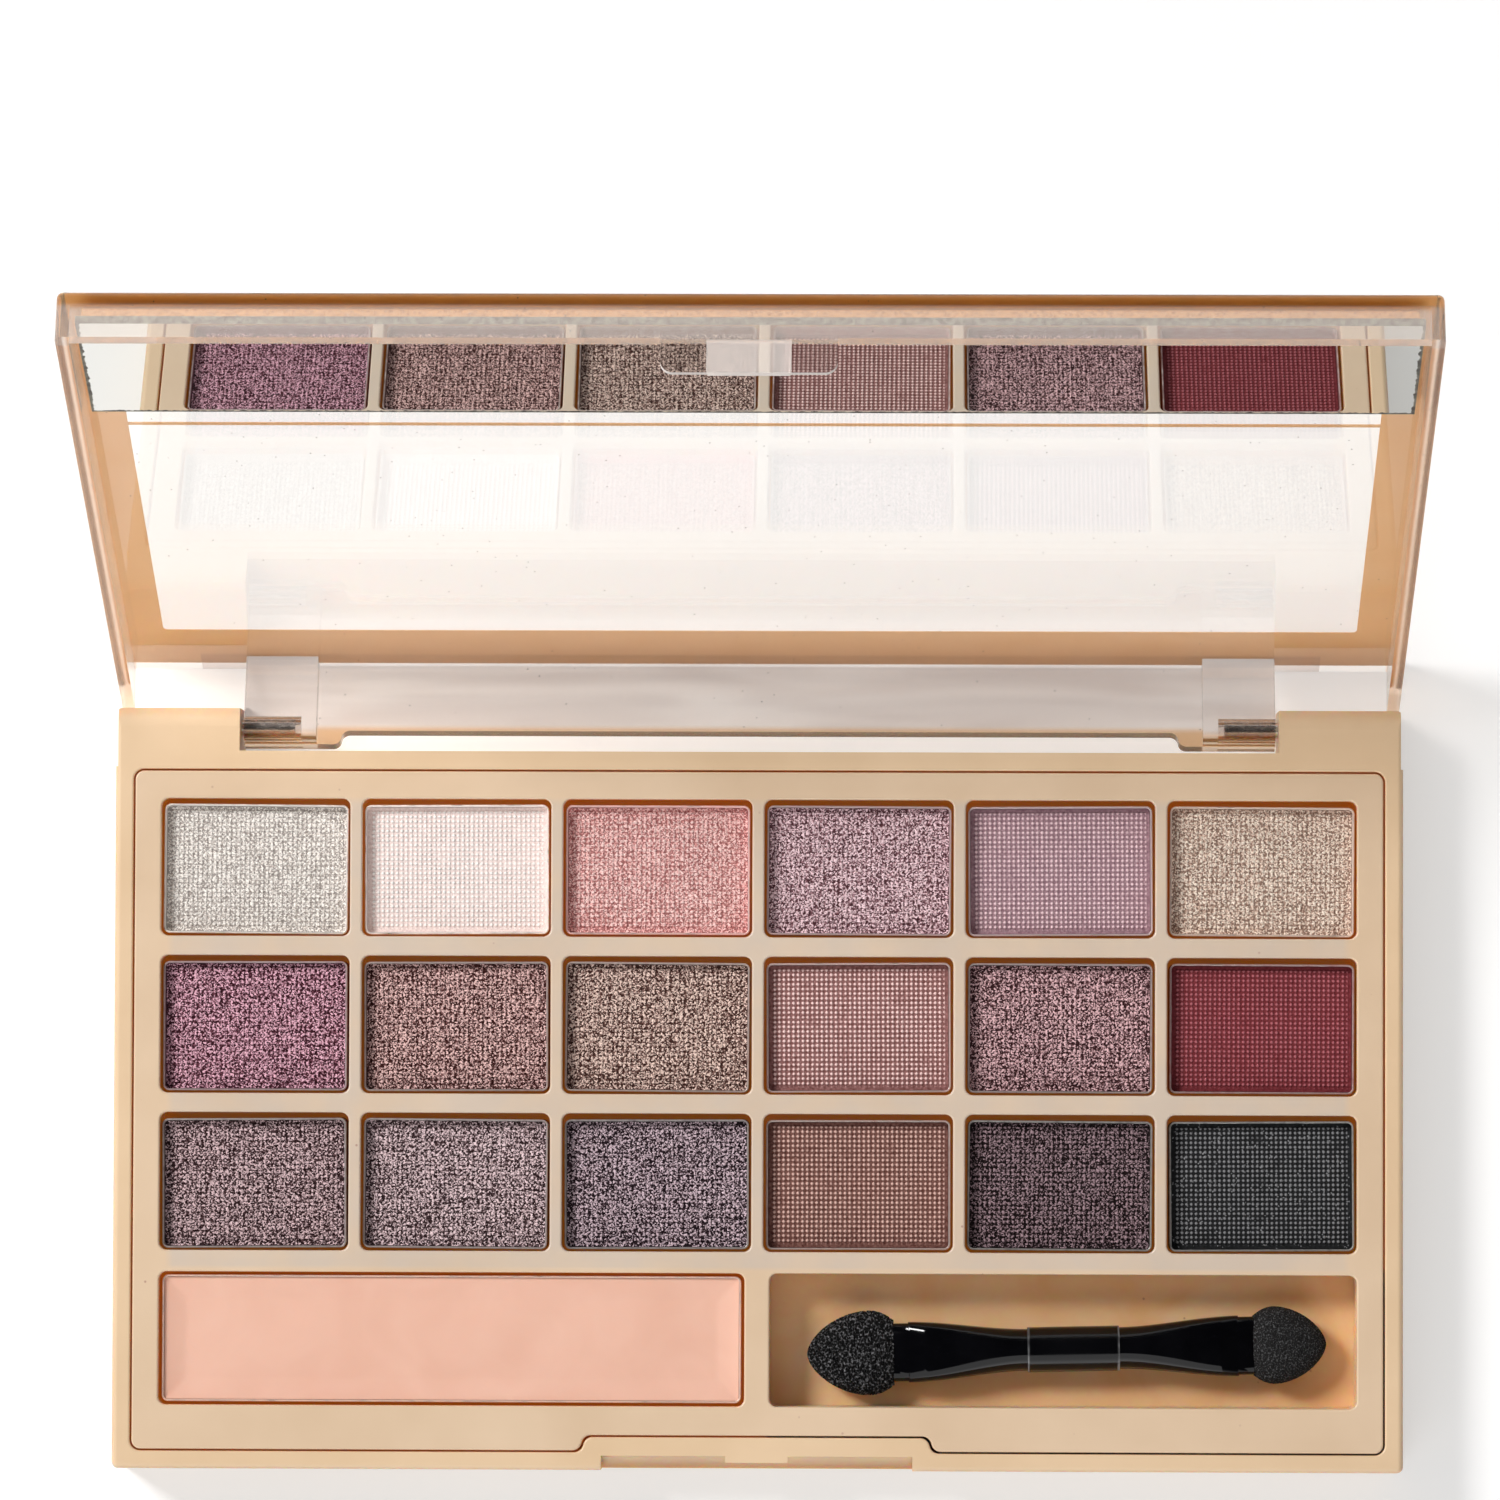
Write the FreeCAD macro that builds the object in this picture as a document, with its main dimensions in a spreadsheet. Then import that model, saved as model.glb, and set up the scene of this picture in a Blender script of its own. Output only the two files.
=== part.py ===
import FreeCAD, Part
import os
import re
import Sketcher
from FreeCAD import Placement, Rotation, Vector

# A hinged make-up palette: a base with eighteen square pans, a long cream pan and an applicator well,
# and a clear lid that stands open. Millimetres, +Z up, +Y toward the hinge. The origin is the middle
# of the flat underside of the base.

# Driving sizes. Everything else is worked out from them.
SIZES = {
    # wells for the small pans, three rows of six
    "well_length": 23.5,
    "well_width": 17.1,
    "well_depth": 5.8,
    "well_corner": 1.0,
    "column_rib": 1.5,
    "row_rib": 2.4,
    # two long wells along the front edge
    "front_well_width": 16.5,
    "front_well_extra": 0.6,
    "front_middle_rib": 3.1,
    "front_row_rib": 2.65,
    # deck of the insert outside the wells
    "deck_side": 3.27,
    "deck_back": 3.42,
    "deck_front": 5.48,
    "tray_floor": 1.0,
    "tray_skirt": 1.5,
    "tray_hollow": 1.1,
    "tray_corner": 1.1,
    "tray_edge": 0.25,
    "seam_gap": 0.22,
    # outer shell of the base
    "frame_side": 2.26,
    "frame_back": 7.61,
    "frame_front": 2.2,
    "shell_floor": 1.5,
    "shell_corner": 0.8,
    "shell_edge": 0.7,
    # latch recess in the front face
    "latch_half": 19.3,
    "latch_depth": 1.8,
    "latch_height": 6.5,
    "latch_scoop": 1.5,
    "land_margin": 1.2,
    "land_run": 2.35,
    "land_depth": 1.9,
    "catch_half": 3.85,
    "catch_reach": 0.8,
    "catch_height": 1.2,
    # hinge ears and pins
    "hinge_back": 2.28,
    "hinge_drop": 4.15,
    "ear_width": 15.4,
    "ear_inset": 0.3,
    "ear_step": 7.3,
    "notch_wall": 3.04,
    "pin_radius": 1.05,
    "pin_in_ear": 8.0,
    "pin_reach": 6.7,
    "pin_play": 0.06,
    "pin_end_gap": 0.75,
    # lid
    "lid_angle": 114.0,
    "skirt_height": 6.25,
    "lid_wall": 1.55,
    "plate_thickness": 1.42,
    "plate_back": 0.87,
    "lid_edge": 0.7,
    "close_gap": 0.1,
    "stop_gap": 0.1,
    # hinge bar of the lid
    "bar_gap": 0.35,
    "bar_thickness": 1.4,
    "bar_drop": 0.1,
    "bar_edge": 1.5,
    "bar_sweep": 2.1,
    "bar_foot": 11.0,
    "block_length": 9.0,
    "knuckle_radius": 2.0,
    # front tongue of the lid
    "tongue_half": 10.2,
    "tongue_drop": 4.5,
    "tongue_thickness": 0.55,
    "tongue_corner": 1.5,
    "hook_half": 4.75,
    "hook_gap": 0.2,
    # mirror strip on its wedge of tape
    "mirror_depth": 21.9,
    "mirror_thickness": 1.0,
    "mirror_side_gap": 0.65,
    "mirror_front_gap": 0.25,
    "tape_rear": 0.53,
    "tape_front": 1.33,
    "tape_inset": 0.6,
    # printed border film on the outside of the lid
    "film_thickness": 0.1,
    "film_margin": 0.8,
    "window_side": 5.8,
    "window_back": 8.2,
    "window_corner": 0.6,
    "strip_gap": 1.4,
    "strip_width": 5.0,
    "line_width": 0.6,
    # metal pans and what is pressed into them
    "pan_gap_long": 0.3,
    "pan_gap_short": 0.5,
    "pan_slide": 0.22,
    "primer_gap": 0.4,
    "pan_sink": 0.8,
    "pan_sheet": 0.25,
    "pan_corner": 0.8,
    "pan_edge": 0.1,
    "pan_turn": 0.4,
    "powder_gap": 0.05,
    "powder_sink": 1.2,
    "cream_sink": 0.35,
    "powder_edge": 0.12,
    # double-ended applicator
    "end_gap_left": 4.65,
    "end_gap_right": 3.6,
    "applicator_turn": 1.34,
    "applicator_shift": 1.03,
    "rest_gap": 0.1,
    "sleeve_length": 11.4,
    "sleeve_radius": 2.8,
    "sleeve_wall": 0.5,
    "wand_radius": 2.6,
    "flare_half": 3.75,
    "flare_thick": 2.1,
    "tab_length": 2.0,
    "tab_step": 0.2,
    "tab_thick": 1.5,
    "sponge_left_length": 10.7,
    "sponge_left_half": 5.45,
    "sponge_right_length": 9.0,
    "sponge_right_half": 4.95,
    "sponge_thick": 2.6,
}
ROWS = 3
COLUMNS = 6
# degrees of a wave from one pan to the next: no rhythm that the eye can find in how the pans sit askew
SCATTER = 137

# Sizes and places worked out from the driving ones
WELLS_HALF = f"({COLUMNS} * well_length + {COLUMNS - 1} * column_rib) / 2"
TRAY_HALF = f"({WELLS_HALF} + deck_side)"
BASE_HALF = f"({TRAY_HALF} + seam_gap + frame_side)"
BACK_TO_WELLS = "(frame_back + seam_gap + deck_back)"
ROWS_DEPTH = f"({ROWS} * well_width + {ROWS - 1} * row_rib)"
WELLS_TO_FRONT = "(front_row_rib + front_well_width + deck_front + seam_gap + frame_front)"
BASE_DEPTH = f"({BACK_TO_WELLS} + {ROWS_DEPTH} + {WELLS_TO_FRONT})"
BASE_BACK = f"({BASE_DEPTH} / 2)"
BASE_FRONT = f"(-{BASE_DEPTH} / 2)"
FRONT_WELL_DEPTH = "(well_depth + front_well_extra)"
BASE_HEIGHT = f"(shell_floor + tray_hollow + tray_floor + {FRONT_WELL_DEPTH})"
CAVITY_BACK = f"({BASE_BACK} - frame_back)"
CAVITY_FRONT = f"({BASE_FRONT} + frame_front)"
TRAY_BACK = f"({CAVITY_BACK} - seam_gap)"
TRAY_FRONT = f"({CAVITY_FRONT} + seam_gap)"
FIRST_ROW = f"({TRAY_BACK} - deck_back - well_width / 2)"
FRONT_ROW = f"({TRAY_FRONT} + deck_front + front_well_width / 2)"
FRONT_WELL_LENGTH = f"({WELLS_HALF} - front_middle_rib / 2)"
FRONT_WELL_MIDDLE = f"(front_middle_rib / 2 + {FRONT_WELL_LENGTH} / 2)"
LAND_HALF = "(latch_half + land_margin)"
LATCH_WALL = f"({BASE_FRONT} + latch_depth)"
NOTCH_HALF = f"({BASE_HALF} - ear_width)"
AXIS_Y = f"({BASE_BACK} - hinge_back)"
AXIS_Z = f"({BASE_HEIGHT} - hinge_drop)"

# Lid heights and lengths, counted from the hinge axis with the lid closed
RIM = "(hinge_drop + close_gap)"
LID_TOP = f"({RIM} + skirt_height)"
PLATE_TOP = f"({LID_TOP} - film_thickness)"
PLATE_INSIDE = f"({PLATE_TOP} - plate_thickness)"
LID_REACH = f"({AXIS_Y} + {BASE_BACK})"
LID_INNER_HALF = f"({BASE_HALF} - lid_wall)"
LEAN = "(lid_angle - 90)"
HEEL = f"(({RIM} * cos({LEAN}) - hinge_back - stop_gap) / sin({LEAN}))"
BAR_HALF = f"({NOTCH_HALF} - bar_gap)"
MIRROR_FRONT = f"({LID_REACH} - lid_wall - mirror_front_gap)"
MIRROR_REAR = f"({MIRROR_FRONT} - mirror_depth)"
MIRROR_HALF = f"({LID_INNER_HALF} - mirror_side_gap)"
# how far a cut reaches past the face that it opens, and how close counts as the same place
SPARE = 1.0
SAME = 0.001

# Applicator, counted along its own axis from the middle of the sleeve
WAND_LENGTH = (f"(({FRONT_WELL_LENGTH} - end_gap_left - end_gap_right - sleeve_length - 2 * tab_length"
               " - sponge_left_length - sponge_right_length) / 2)")
SLEEVE_X = (f"(front_middle_rib / 2 + end_gap_left + sponge_left_length + tab_length + {WAND_LENGTH}"
            " + sleeve_length / 2)")

doc = FreeCAD.newDocument("palette")
sheet = doc.addObject("Spreadsheet::Sheet", "Sizes")
for row_number, (alias, amount) in enumerate(SIZES.items(), start=1):
    sheet.set(f"A{row_number}", alias)
    sheet.set(f"B{row_number}", str(amount))
    sheet.setAlias(f"B{row_number}", alias)
doc.recompute()

sub_parts = []


def named(expression):
    """Put the sheet's name before each size in an expression."""
    return re.sub(r"[a-z_]+", lambda word: f"Sizes.{word[0]}" if word[0] in SIZES else word[0], str(expression))


def measure(expression):
    """The present value of an expression, in millimetres or degrees."""
    return float(sheet.evalExpression(named(expression)))


def bind(thing, prop, expression):
    thing.setExpression(prop, named(expression))


def place(thing, x, y, z, axis=Vector(0, 0, 1), angle=None):
    """Tie a thing's place, and its turn about one axis, to the sheet."""
    turn = Rotation() if angle is None else Rotation(axis, measure(angle))
    thing.Placement = Placement(Vector(measure(x), measure(y), measure(z)), turn)
    bind(thing, "Placement.Base.x", x)
    bind(thing, "Placement.Base.y", y)
    bind(thing, "Placement.Base.z", z)
    if angle is not None:
        bind(thing, "Placement.Rotation.Angle", angle)


def new_body(label):
    body = doc.addObject("PartDesign::Body", label)
    body.Label = label
    sub_parts.append(body)
    return body


def new_sketch(body, name, plane, offset="0"):
    """A sketch on one of the body's own planes, moved along that plane's normal."""
    sketch = body.newObject("Sketcher::SketchObject", f"{body.Label}_{name}")
    support = [item for item in body.Origin.OriginFeatures if item.Role == plane][0]
    sketch.AttachmentSupport = (support, [""])
    sketch.MapMode = "FlatFace"
    bind(sketch, "AttachmentOffset.Base.z", offset)
    return sketch


def corner(x, y, fix="xy", centre=None, left_turn=True):
    """One corner of an outline. With a centre, the stretch that starts here is an arc about it."""
    return {"x": x, "y": y, "fix": fix, "centre": centre, "left_turn": left_turn}


def fix_point(sketch, geometry, point, axis, expression):
    rule = Sketcher.Constraint(f"Distance{axis.upper()}", -1, 1, geometry, point, measure(expression))
    number = sketch.addConstraint(rule)
    bind(sketch, f"Constraints[{number}]", expression)


def outline(sketch, corners):
    """A closed outline of lines and arcs, each corner held by expressions.

    The corner where an arc ends is fixed only along the arc, because the arc's radius sets the rest.
    """
    first = sketch.GeometryCount
    count = len(corners)
    spots = [Vector(measure(item["x"]), measure(item["y"]), 0) for item in corners]
    starts = []
    for number, item in enumerate(corners):
        here = spots[number]
        there = spots[(number + 1) % count]
        if item["centre"] is None:
            sketch.addGeometry(Part.LineSegment(here, there), False)
            starts.append((first + number, 1, 2))
            continue
        middle = Vector(measure(item["centre"][0]), measure(item["centre"][1]), 0)
        before, after = (here, there) if item["left_turn"] else (there, here)
        circle = Part.Circle(middle, Vector(0, 0, 1), (here - middle).Length)
        sketch.addGeometry(Part.ArcOfCircle(circle, circle.parameter(before), circle.parameter(after)), False)
        starts.append((first + number, 1, 2) if item["left_turn"] else (first + number, 2, 1))
    for number, item in enumerate(corners):
        geometry, start, end = starts[number]
        follower, follower_start, _ = starts[(number + 1) % count]
        sketch.addConstraint(Sketcher.Constraint("Coincident", geometry, end, follower, follower_start))
        for axis in item["fix"]:
            fix_point(sketch, geometry, start, axis, item[axis])
        if item["centre"] is not None:
            fix_point(sketch, geometry, 3, "x", item["centre"][0])
            fix_point(sketch, geometry, 3, "y", item["centre"][1])


def rectangle(sketch, left, right, bottom, top):
    outline(sketch, [corner(left, bottom), corner(right, bottom), corner(right, top), corner(left, top)])


def rounded_rectangle(sketch, left, right, bottom, top, radius):
    """Four sides joined by quarter arcs."""
    inner_left = f"({left} + {radius})"
    inner_right = f"({right} - {radius})"
    inner_bottom = f"({bottom} + {radius})"
    inner_top = f"({top} - {radius})"
    outline(sketch, [
        corner(inner_left, bottom, fix="x"),
        corner(inner_right, bottom, centre=(inner_right, inner_bottom)),
        corner(right, inner_bottom, fix="y"),
        corner(right, inner_top, centre=(inner_right, inner_top)),
        corner(inner_right, top, fix="x"),
        corner(inner_left, top, centre=(inner_left, inner_top)),
        corner(left, inner_top, fix="y"),
        corner(left, inner_bottom, centre=(inner_left, inner_bottom)),
    ])


def ring(sketch, x, y, radius):
    """A full circle about a point."""
    circle = Part.Circle(Vector(measure(x), measure(y), 0), Vector(0, 0, 1), measure(radius))
    number = sketch.addGeometry(circle, False)
    rule = sketch.addConstraint(Sketcher.Constraint("Radius", number, measure(radius)))
    bind(sketch, f"Constraints[{rule}]", radius)
    fix_point(sketch, number, 3, "x", x)
    fix_point(sketch, number, 3, "y", y)


def extrude(body, kind, sketch, length, symmetric=False, backward=False):
    """Pad or pocket a sketch. A pocket has to make the body smaller and a pad larger."""
    doc.recompute()
    before = 0.0 if body.Tip is None else body.Shape.Volume
    feature = body.newObject(f"PartDesign::{kind}", f"{sketch.Name}_{kind}")
    feature.Profile = sketch
    feature.SideType = "Symmetric" if symmetric else "One side"
    feature.Reversed = backward
    bind(feature, "Length", length)
    doc.recompute()
    grew = body.Shape.Volume > before
    if grew != (kind == "Pad"):
        raise RuntimeError(f"{feature.Name} changed nothing")
    return feature


def fillet(body, name, radius, wanted):
    """Round the edges of the body's last feature that pass the test."""
    doc.recompute()
    base = body.Tip
    edges = [f"Edge{number}" for number, edge in enumerate(base.Shape.Edges, start=1) if wanted(edge)]
    feature = body.newObject("PartDesign::Fillet", f"{body.Label}_{name}")
    feature.Base = (base, edges)
    bind(feature, "Radius", radius)
    body.Tip = feature
    doc.recompute()
    return feature


def level_at(edge, height):
    """True for an edge that lies flat at one height."""
    box = edge.BoundBox
    return abs(box.ZMin - height) < SAME and abs(box.ZMax - height) < SAME


def latch_land(sketch, half, wall_back, wall_front, closing):
    """The bulge of the frame around the latch recess: two S-curves joined by a straight back."""
    bend = "((land_run ^ 2 + land_depth ^ 2) / (4 * land_depth))"
    middle = f"(({wall_back} + {wall_front}) / 2)"
    outline(sketch, [
        corner(f"(-{half} - land_run)", closing),
        corner(f"({half} + land_run)", closing),
        corner(f"({half} + land_run)", wall_front, centre=(f"({half} + land_run)", f"({wall_front} + {bend})"),
               left_turn=False),
        corner(f"({half} + land_run / 2)", middle, fix="x", centre=(half, f"({wall_back} - {bend})")),
        corner(half, wall_back, fix="x"),
        corner(f"(-{half})", wall_back, centre=(f"(-{half})", f"({wall_back} - {bend})")),
        corner(f"(-{half} - land_run / 2)", middle, fix="x",
               centre=(f"(-{half} - land_run)", f"({wall_front} + {bend})"), left_turn=False),
        corner(f"(-{half} - land_run)", wall_front, fix="x"),
    ])


def make_base_shell():
    """The outer tray: frame, hinge ears with pin holes, and the latch recess with its catch."""
    body = new_body("base_shell")
    top = measure(BASE_HEIGHT)
    block = new_sketch(body, "block", "XY_Plane")
    rounded_rectangle(block, f"(-{BASE_HALF})", BASE_HALF, BASE_FRONT, BASE_BACK, "shell_corner")
    extrude(body, "Pad", block, BASE_HEIGHT)
    fillet(body, "rim", "shell_edge", lambda edge: level_at(edge, top) or level_at(edge, 0.0))
    ears = new_sketch(body, "ears", "XY_Plane", BASE_HEIGHT)
    for near, far in ((f"({BASE_HALF} - ear_inset)", f"({BASE_HALF} + {SPARE})"),
                      (f"(-{BASE_HALF} - {SPARE})", f"(-{BASE_HALF} + ear_inset)")):
        rectangle(ears, near, far, f"({BASE_BACK} - ear_step)", f"({BASE_BACK} + {SPARE})")
    extrude(body, "Pocket", ears, BASE_HEIGHT)
    cavity = new_sketch(body, "cavity", "XY_Plane", BASE_HEIGHT)
    cavity_half = f"({TRAY_HALF} + seam_gap)"
    rounded_rectangle(cavity, f"(-{cavity_half})", cavity_half, CAVITY_FRONT, CAVITY_BACK,
                      "(tray_corner + seam_gap)")
    extrude(body, "Pocket", cavity, f"({BASE_HEIGHT} - shell_floor)")
    land = new_sketch(body, "land", "XY_Plane", "shell_floor")
    latch_land(land, f"({LAND_HALF} - seam_gap)", f"({CAVITY_FRONT} + land_depth)", CAVITY_FRONT,
               f"({CAVITY_FRONT} - frame_front / 2)")
    extrude(body, "Pad", land, f"({BASE_HEIGHT} - shell_floor)")
    inside = measure(cavity_half) + SAME
    back = measure(CAVITY_BACK) + SAME
    fillet(body, "seam", "tray_edge", lambda edge: level_at(edge, top) and edge.BoundBox.YMax < back
           and edge.BoundBox.YMin > measure(CAVITY_FRONT) - SAME and edge.BoundBox.XMax < inside
           and edge.BoundBox.XMin > -inside)
    notch = new_sketch(body, "notch", "XY_Plane", BASE_HEIGHT)
    rectangle(notch, f"(-{NOTCH_HALF})", NOTCH_HALF, f"({AXIS_Y} - notch_wall)", f"({BASE_BACK} + {SPARE})")
    extrude(body, "Pocket", notch, BASE_HEIGHT)
    recess = new_sketch(body, "recess", "YZ_Plane")
    ledge = f"({BASE_HEIGHT} - latch_height)"
    outline(recess, [
        corner(f"({BASE_FRONT} - {SPARE})", ledge),
        corner(f"({LATCH_WALL} - latch_scoop)", ledge,
               centre=(f"({LATCH_WALL} - latch_scoop)", f"({ledge} + latch_scoop)")),
        corner(LATCH_WALL, f"({ledge} + latch_scoop)", fix="y"),
        corner(LATCH_WALL, f"({BASE_HEIGHT} + {SPARE})"),
        corner(f"({BASE_FRONT} - {SPARE})", f"({BASE_HEIGHT} + {SPARE})"),
    ])
    extrude(body, "Pocket", recess, "(2 * latch_half)", symmetric=True)
    catch = new_sketch(body, "catch", "XY_Plane", BASE_HEIGHT)
    rectangle(catch, "(-catch_half)", "catch_half", f"({LATCH_WALL} - catch_reach)",
              f"({LATCH_WALL} + land_depth / 2)")
    extrude(body, "Pad", catch, "catch_height", backward=True)
    # the ears are rounded about the hinge axis so that the lid's rim can swing past them
    swing = new_sketch(body, "swing", "YZ_Plane")
    arc_end = f"({AXIS_Z} + sqrt(hinge_drop ^ 2 - hinge_back ^ 2))"
    outline(swing, [
        corner(BASE_BACK, arc_end, centre=(AXIS_Y, AXIS_Z)),
        corner(AXIS_Y, BASE_HEIGHT, fix="x"),
        corner(AXIS_Y, f"({BASE_HEIGHT} + {SPARE})"),
        corner(f"({BASE_BACK} + {SPARE})", f"({BASE_HEIGHT} + {SPARE})"),
        corner(f"({BASE_BACK} + {SPARE})", arc_end),
    ])
    extrude(body, "Pocket", swing, f"(2 * {BASE_HALF} + {SPARE})", symmetric=True)
    bores = new_sketch(body, "bores", "YZ_Plane")
    ring(bores, AXIS_Y, AXIS_Z, "pin_radius")
    extrude(body, "Pocket", bores, f"(2 * ({NOTCH_HALF} + pin_in_ear))", symmetric=True)


def make_pan_tray():
    """The insert that holds the pans: a deck with wells, hollow underneath."""
    body = new_body("pan_tray")
    top = measure(BASE_HEIGHT)
    block = new_sketch(body, "block", "XY_Plane", "shell_floor")
    rounded_rectangle(block, f"(-{TRAY_HALF})", TRAY_HALF, TRAY_FRONT, TRAY_BACK, "tray_corner")
    extrude(body, "Pad", block, f"({BASE_HEIGHT} - shell_floor)")
    bay = new_sketch(body, "bay", "XY_Plane", BASE_HEIGHT)
    latch_land(bay, LAND_HALF, f"({TRAY_FRONT} + land_depth)", TRAY_FRONT, f"({TRAY_FRONT} - {SPARE})")
    extrude(body, "Pocket", bay, f"({BASE_HEIGHT} - shell_floor)")
    well = new_sketch(body, "well", "XY_Plane", BASE_HEIGHT)
    x, y = pan_spot(0, 0)
    rounded_rectangle(well, f"({x} - well_length / 2)", f"({x} + well_length / 2)",
                      f"({y} - well_width / 2)", f"({y} + well_width / 2)", "well_corner")
    first_well = extrude(body, "Pocket", well, "well_depth")
    repeat_wells(body, first_well)
    fronts = new_sketch(body, "fronts", "XY_Plane", BASE_HEIGHT)
    for left, right in ((f"(-{WELLS_HALF})", "(-front_middle_rib / 2)"),
                        ("(front_middle_rib / 2)", f"({WELLS_HALF})")):
        rounded_rectangle(fronts, left, right, f"({FRONT_ROW} - front_well_width / 2)",
                          f"({FRONT_ROW} + front_well_width / 2)", "well_corner")
    extrude(body, "Pocket", fronts, FRONT_WELL_DEPTH)
    fillet(body, "lips", "tray_edge", lambda edge: level_at(edge, top))
    hollow = new_sketch(body, "hollow", "XY_Plane", "shell_floor")
    rounded_rectangle(hollow, f"(-{TRAY_HALF} + tray_skirt)", f"({TRAY_HALF} - tray_skirt)",
                      f"({TRAY_FRONT} + land_depth + tray_skirt)", f"({TRAY_BACK} - tray_skirt)", "tray_corner")
    extrude(body, "Pocket", hollow, "tray_hollow", backward=True)


def repeat_wells(body, first_well):
    """Copy the rear left well to the other columns and rows."""
    axes = {item.Role: item for item in body.Origin.OriginFeatures}
    grid = body.newObject("PartDesign::LinearPattern", "well_grid")
    grid.Originals = [first_well]
    grid.Direction = (axes["X_Axis"], [""])
    grid.Occurrences = COLUMNS
    bind(grid, "Length", f"{COLUMNS - 1} * (well_length + column_rib)")
    grid.Direction2 = (axes["Y_Axis"], [""])
    grid.Reversed2 = True
    grid.Occurrences2 = ROWS
    bind(grid, "Length2", f"{ROWS - 1} * (well_width + row_rib)")
    body.Tip = grid


def pan_spot(row, column):
    """Middle of a small well: rows count from the hinge, columns from the left."""
    x = f"({column - (COLUMNS - 1) / 2} * (well_length + column_rib))"
    y = f"({FIRST_ROW} - {row} * (well_width + row_rib))"
    return x, y


def make_pan(label, cake_label, length, width, height, sink, spot, turn):
    """A thin metal pan on the floor of a well, and a cake in it that ends the sink below the rim."""
    x, y, floor = spot
    pan = new_body(label)
    blank = new_sketch(pan, "blank", "XY_Plane")
    rounded_rectangle(blank, f"(-{length} / 2)", f"({length} / 2)", f"(-{width} / 2)", f"({width} / 2)",
                      "pan_corner")
    extrude(pan, "Pad", blank, height)
    inside = new_sketch(pan, "inside", "XY_Plane", height)
    rounded_rectangle(inside, f"(-{length} / 2 + pan_sheet)", f"({length} / 2 - pan_sheet)",
                      f"(-{width} / 2 + pan_sheet)", f"({width} / 2 - pan_sheet)", "(pan_corner - pan_sheet)")
    extrude(pan, "Pocket", inside, f"({height} - pan_sheet)")
    rim = measure(height)
    fillet(pan, "rim", "pan_edge", lambda edge: level_at(edge, rim))
    place(pan, x, y, floor, angle=turn)

    cake = new_body(cake_label)
    border = "(pan_sheet + powder_gap)"
    slab = new_sketch(cake, "slab", "XY_Plane", "pan_sheet")
    rounded_rectangle(slab, f"(-{length} / 2 + {border})", f"({length} / 2 - {border})",
                      f"(-{width} / 2 + {border})", f"({width} / 2 - {border})", f"(pan_corner - {border})")
    extrude(cake, "Pad", slab, f"({height} - pan_sheet - {sink})")
    crown = measure(f"({height} - {sink})")
    fillet(cake, "crown", "powder_edge", lambda edge: level_at(edge, crown))
    place(cake, x, y, floor, angle=turn)


def make_pans():
    """Eighteen small pans, each a little askew and toward the front of its well, and the long cream pan."""
    length = "(well_length - 2 * pan_gap_long)"
    width = "(well_width - 2 * pan_gap_short)"
    small_floor = f"({BASE_HEIGHT} - well_depth)"
    for row in range(ROWS):
        for column in range(COLUMNS):
            name = f"r{row + 1}c{column + 1}"
            x, y = pan_spot(row, column)
            turn = f"(-pan_turn * cos({SCATTER * (row * COLUMNS + column)}))"
            make_pan(f"pan_{name}", f"powder_{name}", length, width, "(well_depth - pan_sink)",
                     "powder_sink", (x, f"({y} - pan_slide)", small_floor), turn)
    make_pan("primer_pan", "primer_cream", f"({FRONT_WELL_LENGTH} - 2 * primer_gap)",
             "(front_well_width - 2 * primer_gap)", f"({FRONT_WELL_DEPTH} - pan_sink)", "cream_sink",
             (f"(-{FRONT_WELL_MIDDLE})", FRONT_ROW, f"({BASE_HEIGHT} - {FRONT_WELL_DEPTH})"), None)


def make_hinge_pins():
    """Two steel pins, pressed into the ears and running in the lid's knuckles."""
    for label, start in (("hinge_pin_left", f"(-{NOTCH_HALF} - pin_in_ear)"),
                         ("hinge_pin_right", f"({NOTCH_HALF} - pin_reach)")):
        pin = doc.addObject("Part::Cylinder", label)
        pin.Label = label
        bind(pin, "Radius", "pin_radius")
        bind(pin, "Height", "(pin_in_ear + pin_reach)")
        place(pin, start, AXIS_Y, AXIS_Z, Vector(0, 1, 0), "90")
        sub_parts.append(pin)


def place_in_lid(thing):
    """Lid pieces are drawn closed, with the hinge axis at their origin, and stand open here."""
    place(thing, "0", AXIS_Y, AXIS_Z, Vector(-1, 0, 0), "lid_angle")


def make_lid_shell():
    """The clear lid: plate and skirt, hinge bar with two knuckle blocks, and the front tongue."""
    body = new_body("lid_shell")
    top = measure(PLATE_TOP)
    block = new_sketch(body, "block", "XY_Plane", RIM)
    rounded_rectangle(block, f"(-{BASE_HALF})", BASE_HALF, f"(-{LID_REACH})", f"({HEEL} + {SPARE})",
                      "shell_corner")
    extrude(body, "Pad", block, f"({PLATE_TOP} - {RIM})")
    fillet(body, "edge", "lid_edge", lambda edge: level_at(edge, top))
    # the rear ends of the side walls slant from the heel at the rim to the rear edge of the plate
    slant = new_sketch(body, "slant", "YZ_Plane")
    outline(slant, [
        corner(HEEL, RIM),
        corner(f"({HEEL} + 2 * {SPARE})", RIM),
        corner(f"({HEEL} + 2 * {SPARE})", f"({PLATE_TOP} + {SPARE})"),
        corner("plate_back", f"({PLATE_TOP} + {SPARE})"),
        corner("plate_back", PLATE_TOP),
    ])
    extrude(body, "Pocket", slant, f"(2 * {BASE_HALF} + {SPARE})", symmetric=True)
    hollow = new_sketch(body, "hollow", "XY_Plane", RIM)
    rectangle(hollow, f"(-{LID_INNER_HALF})", LID_INNER_HALF, f"(-{LID_REACH} + lid_wall)",
              f"({HEEL} + {SPARE})")
    extrude(body, "Pocket", hollow, f"({PLATE_INSIDE} - {RIM})", backward=True)
    make_hinge_bar(body)
    make_tongue(body)
    place_in_lid(body)


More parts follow.
